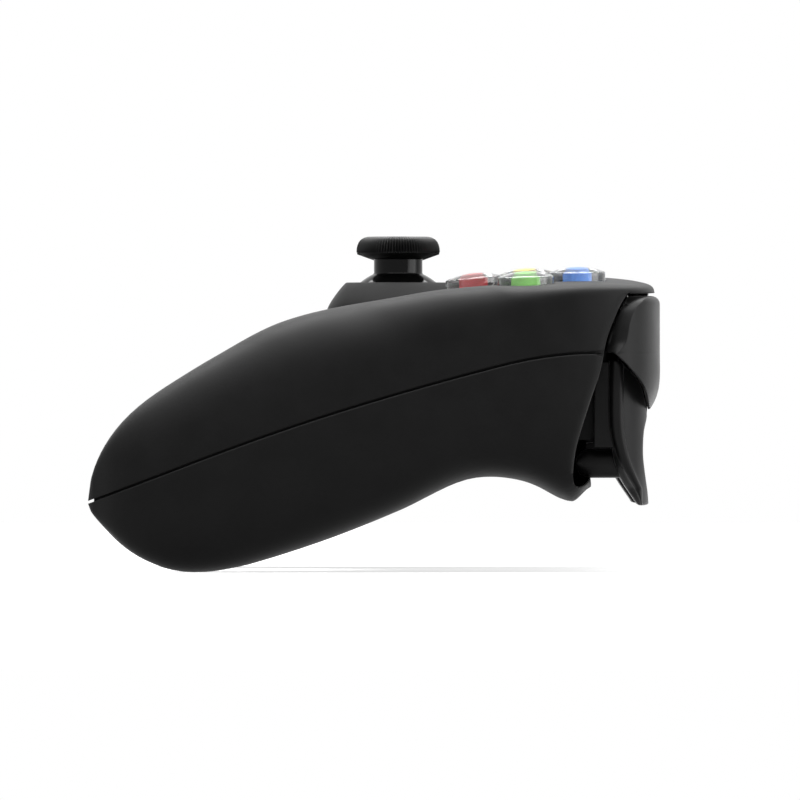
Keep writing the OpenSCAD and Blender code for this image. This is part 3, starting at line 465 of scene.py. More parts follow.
def depth_at(x, y):
    """Depth of the bottom shell below the seam: a flat belly in the middle, then the grips."""
    share = ease(BELLY_FROM, BELLY_TO, abs(x))
    grip_depth = line_height(DEPTH_LINE, y) * end_round(y)
    return (1 - share) * (seam_height(y) - BELLY_HEIGHT) + share * grip_depth


# Shell surfaces: rows run across the pad, each row an arch from the outer to the inner edge

ROWS = 66
STEPS = 60
RIM = 4 * ROWS
LEAST_RISE = 0.2


def edge_point(edge, row):
    """Point on an edge at a row; rows below 0 are on the left."""
    x, y = curve_point(edge, abs(row) * (len(edge) - 1) / ROWS)
    return np.array([x * np.sign(row), y])


def plan_point(i):
    """Round the plan once: outer edge to the right end and back along the inner edge."""
    if i > ROWS:
        return edge_point(INNER_EDGE, 2 * ROWS - i)
    if i < -ROWS:
        return edge_point(INNER_EDGE, -2 * ROWS - i)
    return edge_point(OUTER_EDGE, i)


def wrap(i):
    """Brings a count round the plan back to one turn."""
    if i > 2 * ROWS:
        return i - RIM
    if i < -2 * ROWS:
        return i + RIM
    return i


def inset_point(i, inset):
    """Point of the plan, moved inward."""
    along = plan_point(wrap(i + 1)) - plan_point(wrap(i - 1))
    inward = np.array([along[1], -along[0]]) / np.linalg.norm(along)
    return plan_point(i) + inset * inward


def far_side(row):
    """Count round the plan at which a row ends on the inner edge."""
    return -2 * ROWS - row if row < 0 else 2 * ROWS - row


def squareness(values, row):
    return float(np.interp(abs(row) * (len(values) - 1) / ROWS, range(len(values)), values))


def arch_row(row, up, inset, lift):
    """Inner points of one arch: up is 1 for the top surface and -1 for the bottom one."""
    front, rear = inset_point(row, inset), inset_point(far_side(row), inset)
    points = []
    for step in range(1, STEPS):
        reach = math.cos(math.pi * step / STEPS)
        values = BOTTOM_SQUARENESS if up < 0 else FRONT_SQUARENESS if reach > 0 else REAR_SQUARENESS
        x, y = (front + rear) / 2 + (front - rear) / 2 * reach
        height = surface_height(x, y) - seam_height(y) if up > 0 else depth_at(x, y)
        rise = swell(abs(reach), squareness(values, row)) * max(height - inset - up * lift, LEAST_RISE)
        points.append((x, y, seam_height(y) + lift + up * rise))
    return points


def rim_loop(inset, lift):
    """Loop along the seam, moved inward and up."""
    loop = []
    for i in range(RIM):
        x, y = inset_point(wrap(i), inset)
        loop.append((x, y, seam_height(y) + lift))
    return loop


def surface_faces(rim, grid):
    """Faces of one surface: its border belongs to the rim loop, the rest to the grid."""
    def index(row, step):
        if abs(row) == ROWS:
            return rim + (3 * ROWS if row < 0 else ROWS)
        if step == 0:
            return rim + (row + RIM if row < 0 else row)
        if step == STEPS:
            return rim + 2 * ROWS - row
        return grid + (row + ROWS - 1) * (STEPS - 1) + step - 1

    faces = []
    for row in range(-ROWS, ROWS):
        for step in range(STEPS):
            near, far = [(row, step), (row + 1, step)], [(row + 1, step + 1), (row, step + 1)]
            faces.append(tuple(dict.fromkeys(index(*corner) for corner in near + far)))
    return faces


def shell_body(name, up, rim_steps):
    """Hollow shell: outer surface, the rim's steps one after another, inner surface."""
    points = [p for inset, lift in rim_steps for p in rim_loop(inset, lift)]
    faces = band_faces(RIM, len(rim_steps))
    outer = (0, *rim_steps[0])
    inner = ((len(rim_steps) - 1) * RIM, CASE_WALL, rim_steps[-1][1])
    for rim, inset, lift in (outer, inner):
        faces += surface_faces(rim, len(points))
        for row in range(1 - ROWS, ROWS):
            points += arch_row(row, up, inset, lift)
    return new_object(name, points, faces)


# Cuts in the shells

# Front edge of the shells at the shoulders, as (z, y)
SHOULDER_LINE = [
    (15.6, 35.8), (22.2, 36.5), (30, 38.8), (36.7, 41), (42.2, 42.1), (46.7, 43.8), (49.8, 45.4), (52, 47.2),
]
HOOK_FLOOR = 15.6
HOOK_END = 39.3
# Floor of the hook under the trigger's arm, as (y, z) from its tip to the shell's edge
HOOK_LINE = [(HOOK_END - 0.1, HOOK_FLOOR + 1.5), (38.4, 16.1), (37.2, 15.5), (36.3, 15.9), (36, 17.4)]
EDGE_ROUND = 1.2
FAR_OUT = 95
CUTTER_SPARE = 1


def shoulder_y(z):
    return line_height(SHOULDER_LINE, z)


def shoulder_cut(side, low, high, floor):
    """Cutter that opens a shell for bumper and trigger, in front of the shoulder line."""
    outline = [(shoulder_y(z), z) for z in stretch(low, high, 40)] + [(FAR_OUT, high)] + floor
    start = BUMPER_INNER - RUNNING_GAP
    return prism_x("shoulder_cut", outline, side * start, side * FAR_OUT)


def outer_x(obj, y, z):
    """X of the shell's right-hand outer surface at y and z."""
    found, place, _, _ = obj.ray_cast((FAR_OUT * MM, y * MM, z * MM), (-1, 0, 0))
    return place[0] / MM if found else HALF_WIDTH


def shoulder_rounds(obj, low, high):
    """Cutters that round the uncut shell's edges along its shoulder lines, right and left."""
    rings = []
    for z in stretch(low, high, 40):
        y = shoulder_y(z)
        start = np.array([outer_x(obj, y - EDGE_ROUND, z), y - EDGE_ROUND])
        corner = np.array([outer_x(obj, y, z), y])
        end = corner - np.array([EDGE_ROUND, 0])
        arc = [(1 - t) ** 2 * start + 2 * t * (1 - t) * corner + t * t * end for t in stretch(0, 1, 8)]
        out, ahead = start[0] + CUTTER_SPARE, y + CUTTER_SPARE
        rings.append([(x, y0, z) for x, y0 in [(out, start[1]), *arc, (end[0], ahead), (out, ahead)]])
    return both_sides(lambda side: loft("round", [[(side * x, y, z) for x, y, z in ring] for ring in rings]))


# Flank of the collar round a thumbstick, as (radius, z) from its foot to its flat top
COLLAR_FLANK = [
    (COLLAR_BASE, COLLAR_FOOT), (12.75, 48.5), (11.85, 50), (10.65, 51.6), (9.75, 52.6),
    (COLLAR_FLAT, COLLAR_TOP),
]
CAVITY_HEIGHT = 20


def stick_collar(side):
    """Ring that narrows the hole over a stick's dome; its bore is cut afterwards by the cavity."""
    bore = COLLAR_HOLE - CUTTER_SPARE
    profile = [(bore, COLLAR_FOOT), *smooth_line(COLLAR_FLANK, 24), (bore, COLLAR_TOP)]
    return ring_lathe("collar", profile, (side * STICK[0], STICK[1]))


def stick_cavity(side):
    """Ball-shaped room round the dome, with the collar's round hole above it."""
    radius = DOME_RADIUS + RUNNING_GAP
    meet = math.acos(COLLAR_HOLE / radius)
    arc = [radius * math.cos(a) for a in stretch(math.pi, math.pi / 2 - meet, 40)]
    profile = [(math.sqrt(max(radius * radius - h * h, 0)), PIVOT_HEIGHT + h) for h in arc]
    profile += [(COLLAR_HOLE, PIVOT_HEIGHT + CAVITY_HEIGHT), (0, PIVOT_HEIGHT + CAVITY_HEIGHT)]
    return lathe("cavity", profile, (side * STICK[0], STICK[1]))


def cross_outline(grow):
    """Outline of the direction pad, from its middle."""
    tip, arm = DPAD_SPAN / 2 + grow, DPAD_ARM / 2 + grow
    quarter = [(tip, -arm), (tip, arm), (arm, arm)]
    outline = []
    for turn in range(4):
        c, s = round(math.cos(turn * math.pi / 2)), round(math.sin(turn * math.pi / 2))
        outline += [(c * x - s * y, s * x + c * y) for x, y in quarter]
    return outline


PAD_REAR, PAD_FRONT = CLUSTER[1] - DPAD_SPAN / 2, CLUSTER[1] + DPAD_SPAN / 2
PAD_RISE = surface_height(CLUSTER[0], PAD_FRONT) - surface_height(CLUSTER[0], PAD_REAR)
PAD_TILT = math.atan(PAD_RISE / DPAD_SPAN)


def pad_point(x, y, z):
    """From the direction pad's own frame, tilted with the top face, to the shared frame."""
    c, s = math.cos(PAD_TILT), math.sin(PAD_TILT)
    return x - CLUSTER[0], CLUSTER[1] + c * y - s * z, PAD_PIVOT + s * y + c * z


BUTTON_PLACES = {
    "red": (CLUSTER[0], CLUSTER[1] - BUTTON_SPREAD),
    "green": (CLUSTER[0] + BUTTON_SPREAD, CLUSTER[1]),
    "yellow": (CLUSTER[0] - BUTTON_SPREAD, CLUSTER[1]),
    "blue": (CLUSTER[0], CLUSTER[1] + BUTTON_SPREAD),
}
HOLE_FOOT = BOARD_TOP + 6
HOLE_HEIGHT = 30
PAD_HOLE_HEIGHT = 20


def hole(place, radius):
    return lathe("hole", [(radius, HOLE_FOOT), (radius, HOLE_FOOT + HOLE_HEIGHT)], place)


def top_holes():
    tools = [hole(place, BUTTON_RADIUS + BUTTON_GAP) for place in BUTTON_PLACES.values()]
    tools += [hole((side * MENU_X, CLUSTER[1]), MENU_RADIUS + BUTTON_GAP) for side in (1, -1)]
    outline = cross_outline(PAD_GAP)
    tools.append(loft("pad_hole", [[pad_point(x, y, z) for x, y in outline] for z in (0, PAD_HOLE_HEIGHT)]))
    return tools + both_sides(stick_cavity)


SOCKET_FRONT = CASE_FRONT - 2.6
SOCKET_SIZE = (9, 7.5, 3.2)


def socket_opening():
    half = SOCKET_SIZE[0] / 2 + RUNNING_GAP
    low, high = BOARD_TOP - RUNNING_GAP, BOARD_TOP + SOCKET_SIZE[2] + RUNNING_GAP
    back, ahead = SOCKET_FRONT - SOCKET_SIZE[1], SOCKET_FRONT + SOCKET_SIZE[1]
    return prism_z("socket_opening", rectangle(-half, back, half, ahead), low, high)


LIP_THICKNESS = 1
LIP_ROOT = 3
LIP_INNER = BUMPER_INNER - 2
LIP_RIB_X = (56, 57.5)
LIP_RIB_Y = (44, 46)
LIP_RIB_DEPTH = 1.5


def shoulder_lip(side):
    """Plate under the top face that covers the bumper."""
    back = shoulder_y(LIP_UNDER) - LIP_ROOT
    outline = [
        (LIP_INNER, back), (HALF_WIDTH - 19.5, back), (HALF_WIDTH - 20, CASE_FRONT - 6),
        (HALF_WIDTH - 23.5, CASE_FRONT - 3.4), (LIP_INNER, CASE_FRONT - 3.6),
    ]
    return prism_z("lip", [(side * x, y) for x, y in outline], LIP_UNDER, LIP_UNDER + LIP_THICKNESS)


def lip_rib(side):
    """Rib under that plate, which closes the view through the gap behind the bumper's top."""
    outline = rectangle(side * LIP_RIB_X[0], LIP_RIB_Y[0], side * LIP_RIB_X[1], LIP_RIB_Y[1])
    return prism_z("lip_rib", outline, LIP_UNDER - LIP_RIB_DEPTH, LIP_UNDER + LIP_THICKNESS / 2)


GRIP_SCREW = (HALF_WIDTH - 14, -GRIP_REACH / 2)
FRONT_SCREW = (16, 38)
SCREW_PLACES = [(side * x, y) for x, y in (GRIP_SCREW, FRONT_SCREW) for side in (1, -1)]
HEAD_WELL = 3.05
HEAD_DEPTH = 4.4
SHANK_HOLE = 1.45
SHANK_REACH = 30
WELL_SPARE = 5
BOSS_RADIUS = 4.45


def under_height(place):
    """Height of the underside at a place."""
    return seam_height(place[1]) - depth_at(*place)


TOP_CUT_FOOT = 34
TOP_ROUND = (38, LIP_UNDER - 0.3)


def top_case():
    lip_inset = TONGUE_INSET - TONGUE_GAP
    groove = TONGUE_HEIGHT + TONGUE_GAP
    obj = shell_body("top_case", 1, [
        (0, SEAM_GAP / 2), (lip_inset, SEAM_GAP / 2), (lip_inset, groove), (CASE_WALL, groove)])
    rounds = shoulder_rounds(obj, *TOP_ROUND)
    floor = [(FAR_OUT, TOP_CUT_FOOT)]
    combine(obj, "DIFFERENCE", both_sides(lambda side: shoulder_cut(side, TOP_CUT_FOOT, LIP_UNDER, floor)))
    combine(obj, "DIFFERENCE", rounds)
    combine(obj, "UNION", both_sides(stick_collar) + both_sides(shoulder_lip) + both_sides(lip_rib))
    combine(obj, "DIFFERENCE", top_holes() + [socket_opening()])
    finish_piece(obj, "case", case_paint, ["top_shell"])


PANEL_SIZE = (36, 24)
PANEL_MIDDLE = 16
PANEL_DEPTH = 0.6
POCKET_INNER, POCKET_OUTER = TRIGGER_INNER + 3.2, TRIGGER_INNER + 4.8
POCKET_BACK = 31
POCKET_TOP = 26
POCKET_STEP = 0.7
BOTTOM_CUT = (18, 45)
BOTTOM_CUT_FLOOR = 5
BOTTOM_ROUND = (18, 41)


def label_panel():
    half, deep = PANEL_SIZE[0] / 2, PANEL_SIZE[1] / 2
    outline = rectangle(-half, PANEL_MIDDLE - deep, half, PANEL_MIDDLE + deep)
    return prism_z("panel", outline, BELLY_HEIGHT - WELL_SPARE, BELLY_HEIGHT + PANEL_DEPTH)


def screw_boss(place):
    foot = under_height(place) + CASE_WALL / 2
    return lathe("boss", [(BOSS_RADIUS, foot), (BOSS_RADIUS, seam_height(place[1]))], place, 48)


def screw_well(place):
    foot = under_height(place)
    seat = foot + HEAD_DEPTH
    profile = [(HEAD_WELL, foot - WELL_SPARE), (HEAD_WELL, seat), (SHANK_HOLE, seat)]
    return lathe("well", profile + [(SHANK_HOLE, foot + SHANK_REACH)], place, 48)


def pocket_wall(side):
    """Wall that closes the pocket under the trigger's arm towards the middle."""
    places = stretch(POCKET_BACK, HOOK_END, 8)
    outline = [(y, under_height((POCKET_INNER, y)) + CASE_WALL / 2) for y in places]
    front = HOOK_END - POCKET_STEP
    outline += [(HOOK_END, HOOK_FLOOR + 2.4), (front, HOOK_FLOOR + 4), (front, POCKET_TOP)]
    outline.append((POCKET_BACK, POCKET_TOP))
    return prism_x("pocket", outline, side * POCKET_INNER, side * POCKET_OUTER)


def bottom_case():
    obj = shell_body("bottom_case", -1, [
        (0, -SEAM_GAP / 2), (TONGUE_INSET, -SEAM_GAP / 2),
        (TONGUE_INSET, TONGUE_HEIGHT), (CASE_WALL, TONGUE_HEIGHT)])
    floor = [(FAR_OUT, BOTTOM_CUT_FLOOR), (HOOK_END + 1.5, BOTTOM_CUT_FLOOR), *smooth_line(HOOK_LINE, 24)]
    rounds = shoulder_rounds(obj, *BOTTOM_ROUND)
    combine(obj, "DIFFERENCE", both_sides(lambda side: shoulder_cut(side, *BOTTOM_CUT, floor)))
    combine(obj, "DIFFERENCE", rounds)
    combine(obj, "UNION", [screw_boss(place) for place in SCREW_PLACES] + both_sides(pocket_wall))
    wells = [screw_well(place) for place in SCREW_PLACES]
    combine(obj, "DIFFERENCE", wells + [label_panel(), socket_opening()])
    finish_piece(obj, "case", case_paint, ["bottom_shell"])


top_case()
bottom_case()

# Bumpers: a band behind the crease, then the front face round the corner

# Lower edge, as (y, z)
BUMPER_EDGE = [(43.4, 39.9), (45.7, 37.8), (48.1, 35.1), (49.3, 33), (50.1, 29.6)]
# Crease between band and face, and the chin below the straight front, as (z, y)
CREASE_LINE = [
    (39.6, 43.9), (40.4, 44.7), (41.7, 45.6), (43.1, 46), (44.7, 46.25), (46.7, 46.9), (48, 47.6),
    (48.9, 48.5), (50.2, 49.6),
]
CHIN_LINE = [(29, 49.8), (31, 51), (33, 51.7), (35.5, 52), (40, BUMPER_FRONT)]
# Rib behind the lower edge, as (y, z)
SKIRT_OUTLINE = [(44.4, 38.5), (46.6, 36.3), (46.6, 41), (44.4, 41)]
SKIRT_INNER, SKIRT_OUTER = TRIGGER_INNER + 4, TRIGGER_OUTER - 11
BUMPER_FILLET = 1.5
BAND_DEPTH = 2.2
BAND_WIDTH = 3.0
BAND_LEAST = 0.05
FACE_LEAST = 1
INSIDE_STEP = 0.7
LEDGE_STEP = 0.1
LEDGE_FOOT = 48.5
LEDGE_INNER = 61
# Block taken away below the lower edge
BELOW_BACK, BELOW_FRONT = 30, 60
BELOW_FLOOR = 20
BELOW_INNER = 10


def corner_x(y, side, front):
    """X of the rounded corner at y, from its side to its front."""
    reach = clamp((y - SHOULDER_CORNER[1]) / (front - SHOULDER_CORNER[1]))
    return SHOULDER_CORNER[0] + (side - SHOULDER_CORNER[0]) * swell(reach, CORNER_SQUARENESS)


def crease_y(z, back, front):
    """Y of the crease at a height, kept between the band's back and the face."""
    crease = back + BAND_LEAST
    if z > CREASE_LINE[0][0]:
        crease = max(line_height(CREASE_LINE, z), crease)
    return min(crease, front - FACE_LEAST)


def bumper_ring(side, z):
    """Section of a bumper at a height: band, corner, front face and the hollow behind them."""
    over = max(0, z - (BUMPER_TOP - BUMPER_FILLET))
    inset = BUMPER_FILLET - math.sqrt(max(BUMPER_FILLET ** 2 - over ** 2, 0))
    front = line_height(CHIN_LINE, z) - inset if z < CHIN_LINE[-1][0] else BUMPER_FRONT - inset
    flank = BUMPER_SIDE - inset
    back = shoulder_y(z) + RUNNING_GAP
    crease = crease_y(z, back, front)
    ring = []
    for y in stretch(back, crease, 8):
        dip = BAND_DEPTH * min((crease - y) / BAND_WIDTH, 1)
        ring.append((corner_x(y, flank, front) - dip, y))
    depth = front - SHOULDER_CORNER[1]
    start = math.asin(((crease - SHOULDER_CORNER[1]) / depth) ** (CORNER_SQUARENESS / 2))
    for a in stretch(start, math.pi / 2, 40)[1:]:
        y = SHOULDER_CORNER[1] + depth * math.sin(a) ** (2 / CORNER_SQUARENESS)
        ring.append((corner_x(y, flank, front), y))
    ring += [(x, front) for x in stretch(SHOULDER_CORNER[0], BUMPER_INNER, 12)[1:]]
    inside = max(BUMPER_BACK, back + INSIDE_STEP)
    ledge = inside if z < LEDGE_FOOT else back + LEDGE_STEP
    ring += [(BUMPER_INNER, inside), (LEDGE_INNER, inside)]
    ring += [(LEDGE_INNER, ledge), (BUMPER_RETURN, ledge), (BUMPER_RETURN, back)]
    return [(side * x, y, z) for x, y in ring]


def below_bumper(side):
    """Cutter that gives the bumper its slanting lower edge."""
    outline = [(BELOW_BACK, BUMPER_EDGE[0][1]), *smooth_line(BUMPER_EDGE, 40)]
    outline += [(BELOW_FRONT, BUMPER_EDGE[-1][1]), (BELOW_FRONT, BELOW_FLOOR), (BELOW_BACK, BELOW_FLOOR)]
    return prism_x("below_bumper", outline, side * BELOW_INNER, side * FAR_OUT)


def bumper_skirt(side):
    """Rib that hangs behind the lower edge and closes the view between it and the trigger's brow."""
    return prism_x("skirt", SKIRT_OUTLINE, side * SKIRT_INNER, side * SKIRT_OUTER)


def bumper(side, name):
    heights = stretch(CHIN_LINE[0][0], BUMPER_TOP - BUMPER_FILLET, 60)
    heights += [BUMPER_TOP - BUMPER_FILLET * (1 - math.sin(a)) for a in stretch(0, math.pi / 2, 8)[1:]]
    obj = loft(name + "_bumper_cover", [bumper_ring(side, z) for z in heights])
    combine(obj, "DIFFERENCE", [below_bumper(side)])
    combine(obj, "UNION", [bumper_skirt(side)])
    finish_piece(obj, name + "_bumper_body", shoulder_paint, [name + "_bumper"], 20)


# Triggers: a thin paddle with a rounded rim, a block behind it and the arm that reaches into the case

# Face, outer rim and rear of the paddle, as (z, y)
TRIGGER_FRONT = [(12, 49.9), (14.5, 49.7), (18, 49.2), (21.5, 48.85), (25.4, 49), (28.2, 49.55)]
RIM_LINE = [
    (12.2, 48.6), (14.3, 47.7), (16.5, 46.4), (18.7, 45.2), (21.1, 44.1), (24, 43.2), (27.1, 42.7),
    (33, 42.6), (38.6, 42.7),
]
TRIGGER_REAR = [(12.2, 47.9), (16.9, 44.8), (20, 43.6), (23.8, 43), (30, 42.7), (38.6, 42.8)]
TRIGGER_TIP = 12.5
TRIGGER_HEAD = 38.4
TRIGGER_NOSE = 50.2
PADDLE_LEAST = 0.3
RIM_HALF = 1.0
RIM_FORE = 48.2
RIM_SHARE = 0.93
END_TURN = 0.97
TIP_DROP = 0.4
# Gap between the brow and the bumper's lower edge, which is narrower towards the outside
BROW_GAP = 0.5
BROW_GAP_OUTER = 0.25
BROW_NARROWS = (56, 61)
BROW_DROP = 0.2
BUMPER_HINGE = 64.5
BUMPER_SWING = math.radians(1.1)


def trigger_front(x, z):
    """Front of the trigger: the concave face, then the brow that clears the bumper as it swings."""
    swing = max(BUMPER_HINGE - x, 0) * BUMPER_SWING
    gap = BROW_GAP - (BROW_GAP - BROW_GAP_OUTER) * ease(*BROW_NARROWS, x) + swing
    brow = [(edge_z - BROW_DROP, edge_y - gap) for edge_y, edge_z in reversed(BUMPER_EDGE)]
    return line_height(TRIGGER_FRONT + brow, z)


def trigger_nose(x):
    """Front-most y of the trigger at x, round its outer corner."""
    reach = clamp((x - SHOULDER_CORNER[0]) / (TRIGGER_OUTER - SHOULDER_CORNER[0]))
    return SHOULDER_CORNER[1] + (TRIGGER_NOSE - SHOULDER_CORNER[1]) * swell(reach, CORNER_SQUARENESS)


def trigger_ring(side, share):
    """Ring of the trigger at a share of its width; shares below 0 and above 1 round its ends."""
    turn = min(max(share - 1, -share, 0), END_TURN) * math.pi / 2
    near = ease(RIM_SHARE, 1, share)
    start = TRIGGER_INNER + RIM_HALF
    front_side, back_side = [], []
    for z in stretch(TRIGGER_TIP, TRIGGER_HEAD, 60):
        rim = line_height(RIM_LINE, z)
        end = corner_x(min(rim + RIM_HALF, RIM_FORE), TRIGGER_OUTER, TRIGGER_NOSE) - RIM_HALF
        x = start + (end - start) * clamp(share) + math.copysign(RIM_HALF * math.sin(turn), share)
        front = min(trigger_front(min(x, end), z), trigger_nose(min(x, end)))
        back = min((1 - near) * line_height(TRIGGER_REAR, z) + near * rim, front - PADDLE_LEAST)
        inset = min(RIM_HALF, (front - back) / 2) * (1 - math.cos(turn))
        front_side.append((side * x, front - inset, z))
        back_side.append((side * x, back + inset, z))
    tip = []
    (x, front, z), (_, back, _) = front_side[0], back_side[0]
    for a in stretch(math.pi, 2 * math.pi, 10)[1:-1]:
        tip.append((x, (front + back) / 2 + (front - back) / 2 * math.cos(a), z + TIP_DROP * math.sin(a)))
    return front_side + back_side[::-1] + tip


ARM_INNER, ARM_OUTER = TRIGGER_INNER + 6, TRIGGER_OUTER - 6
ARM_END, ARM_FRONT = 36.6, 45.2
ARM_UNDER, ARM_HEIGHT = 17.1, 5.3
ARM_BULGE = 2.4
ARM_BULGE_POWER = 0.6
ARM_END_HALF = 0.2
ARM_FIRST_TURN = math.radians(12)
PIN_PLACE = (42.4, 36.2)
HUB_RADIUS = 1.9
HUB_WALL = 1.6
# Side wall behind the rim, as (y, z)
CHEEK_OUTLINE = [(44, 38.2), (40.2, 38.2), (39.9, 30), (39.9, 22.7), (44.4, 22.7)]
CHEEK_INNER, CHEEK_OUTER = TRIGGER_OUTER - 3.6, TRIGGER_OUTER - 2.6


def arm_ring(side, y):
    """Section of the arm at y: a bar with a rounded outer side and a rounded far end."""
    round_off = max(0, ARM_END + ARM_HEIGHT / 2 - y)
    half = math.sqrt(max((ARM_HEIGHT / 2) ** 2 - round_off ** 2, ARM_END_HALF ** 2))
    middle = ARM_UNDER + ARM_HEIGHT / 2
    ring = []
    for a in stretch(-math.pi / 2, math.pi / 2, 16):
        bulge = ARM_BULGE * abs(math.cos(a)) ** ARM_BULGE_POWER
        ring.append((side * (ARM_OUTER - ARM_BULGE + bulge), y, middle + half * math.sin(a)))
    return ring + [(side * ARM_INNER, y, middle + half), (side * ARM_INNER, y, middle - half)]


def trigger_arm(side):
    bends = stretch(ARM_FIRST_TURN, math.pi / 2, 10)
    places = [ARM_END + ARM_HEIGHT / 2 * (1 - math.cos(a)) for a in bends]
    return loft("arm", [arm_ring(side, y) for y in places + [ARM_FRONT]])


def hub(side, start):
    outline = [(PIN_PLACE[0] + HUB_RADIUS * math.cos(a), PIN_PLACE[1] + HUB_RADIUS * math.sin(a))
               for a in full_turn(32)]
    return prism_x("hub", outline, side * start, side * (start + HUB_WALL))


def trigger_cheek(side):
    """Side wall that reaches back from the rim into the case, above the arm."""
    return prism_x("cheek", CHEEK_OUTLINE, side * CHEEK_INNER, side * CHEEK_OUTER)


def trigger(side, name):
    shares = stretch(-1, 0, 6)[:-1] + stretch(0, 1, 40) + stretch(1, 2, 8)[1:]
    obj = loft(name + "_trigger_cover", [trigger_ring(side, share) for share in shares])
    hubs = [hub(side, ARM_INNER), hub(side, ARM_OUTER - HUB_WALL)]
    combine(obj, "UNION", [trigger_arm(side), trigger_cheek(side)] + hubs)
    finish_piece(obj, name + "_trigger_body", shoulder_paint, [name + "_trigger"], 40)


for side, name in SIDES:
    bumper(side, name)
    trigger(side, name)

# Thumbsticks: knurled rubber cap on a glossy post with its dome

# Radius that a turned profile keeps from its axis
AXIS_RADIUS = 0.02
CAP_UNDER = 57.2
CAP_RIM_FOOT = 58.3
# Rim of the cap, as (inset from its radius, depth below its top)
CAP_RIM = [(0, 2.85), (0.05, 2.1), (0.2, 1.5), (0.45, 0.95), (0.85, 0.5), (1.4, 0.18), (1.95, 0.04)]
RIB_DEPTH = 0.5
RIB_STEPS = 6
FOOT_RIB = 0.6
DISH_RADIUS = 4.9
DISH_DEPTH = 0.4
PEG_RADIUS = 3
PEG_HEIGHT = 2
PEG_GAP = 0.05
DOME_REACH = math.radians(64)
DOME_WALL = 1.2
STEM_FOOT = 42.4
STEM_CORE = 2
STEM_WAIST = 54.6
STEM_BEVEL = 0.1
STEM_BLEND = 0.06


def knurled_ring(place, radius, z, ribbed):
    """Ring of the cap; ribbed is 1 for the full depth of its ribs and 0 for none."""
    count = CAP_RIBS * RIB_STEPS
    ring = []
    for i, a in enumerate(full_turn(count)):
        groove = 0.5 - 0.5 * math.cos(2 * math.pi * i / RIB_STEPS)
        ring.append(around(place, radius - ribbed * RIB_DEPTH * groove, a, z))
    return ring


def stick_cap(side, name):
    profile = [
        (PEG_RADIUS + PEG_GAP, CAP_UNDER, 0),
        (STEM_RADIUS, CAP_UNDER, 0),
        (STEM_RADIUS + 0.2, CAP_UNDER + 0.05, 0),
        (CAP_RADIUS - 0.35, CAP_RIM_FOOT - 0.1, 0),
        (CAP_RADIUS - 0.1, CAP_RIM_FOOT, FOOT_RIB),
    ]
    profile += [(CAP_RADIUS - inset, CAP_TOP - drop, 1) for inset, drop in CAP_RIM]
    profile += [(DISH_RADIUS + 0.4, CAP_TOP, 0), (DISH_RADIUS, CAP_TOP - 0.03, 0)]
    for r in stretch(DISH_RADIUS - 0.5, 0, 8):
        profile.append((max(r, AXIS_RADIUS), CAP_TOP - DISH_DEPTH * (1 - (r / DISH_RADIUS) ** 2), 0))
    place = (side * STICK[0], STICK[1])
    obj = loft(name + "_stick_grip", [knurled_ring(place, *row) for row in profile])
    finish_piece(obj, name + "_stick", rubber_paint, [name + "_stick_cap"], 50)


def dome_arc(radius, start, end, steps):
    """Profile points on a ball round the stick's pivot, by their angle from straight up."""
    return [(radius * math.sin(a), PIVOT_HEIGHT + radius * math.cos(a)) for a in stretch(start, end, steps)]


def stick_post(side, name):
    inner = DOME_RADIUS - DOME_WALL
    meet = math.asin(STEM_RADIUS / DOME_RADIUS)
    meet_height = PIVOT_HEIGHT + DOME_RADIUS * math.cos(meet)
    neck, peg_top = CAP_UNDER - PEG_GAP, CAP_UNDER + PEG_HEIGHT
    profile = [(AXIS_RADIUS, STEM_FOOT), (STEM_CORE - STEM_BEVEL, STEM_FOOT)]
    profile.append((STEM_CORE, STEM_FOOT + STEM_BEVEL))
    profile += dome_arc(inner, math.asin(STEM_CORE / inner), DOME_REACH, 20)
    profile += dome_arc(DOME_RADIUS, DOME_REACH, meet + 0.02, 40)
    profile += [(STEM_RADIUS + STEM_BLEND, meet_height + STEM_BLEND), (STEM_RADIUS, STEM_WAIST)]
    profile += [(STEM_RADIUS, CAP_UNDER - STEM_BEVEL), (STEM_RADIUS - STEM_BEVEL, neck)]
    profile += [(PEG_RADIUS, neck), (PEG_RADIUS, peg_top), (AXIS_RADIUS, peg_top)]
    obj = lathe(name + "_stick_stem", profile, (side * STICK[0], STICK[1]), 128)
    finish_piece(obj, name + "_stick", stick_paint, [name + "_stick_post"], 40)


for side, name in SIDES:
    stick_cap(side, name)
    stick_post(side, name)

# Face buttons: a clear cap over a coloured core, its top following the slope of the case

FLANGE_HEIGHT = 1.2
FLANGE_WIDTH = 1
CAP_ROOF = 1.3
SHOULDER_DROP = 0.9
DOME_LIFT = 0.05
CORE_BITE = 0.02
SLOPE_REACH = 3
LEAN_FOOT = FLANGE_HEIGHT + 1
LEAN_TOP = 0.5


def flange_top(place, radius):
    """Height of a button's flange, under the lowest part of the case that covers it."""
    reach = radius + FLANGE_WIDTH
    return min(surface_height(place[0] + reach, place[1] - reach) - CASE_WALL, LIP_UNDER) - RUNNING_GAP


def surface_slope(place):
    """Slope of the top face at a place, along X and Y."""
    x, y = place
    return (
        (surface_height(x + SLOPE_REACH, y) - surface_height(x - SLOPE_REACH, y)) / (2 * SLOPE_REACH),
        (surface_height(x, y + SLOPE_REACH) - surface_height(x, y - SLOPE_REACH)) / (2 * SLOPE_REACH),
    )


def lean(obj, place, foot, roof):
    """Leans the upper part of a button with the slope of the case, leaving its foot level."""
    slope = surface_slope(place)
    for v in obj.data.vertices:
        rise = slope[0] * (v.co.x - place[0] * MM) + slope[1] * (v.co.y - place[1] * MM)
        v.co.z += ease(foot + LEAN_FOOT, roof - LEAN_TOP, v.co.z / MM) * rise


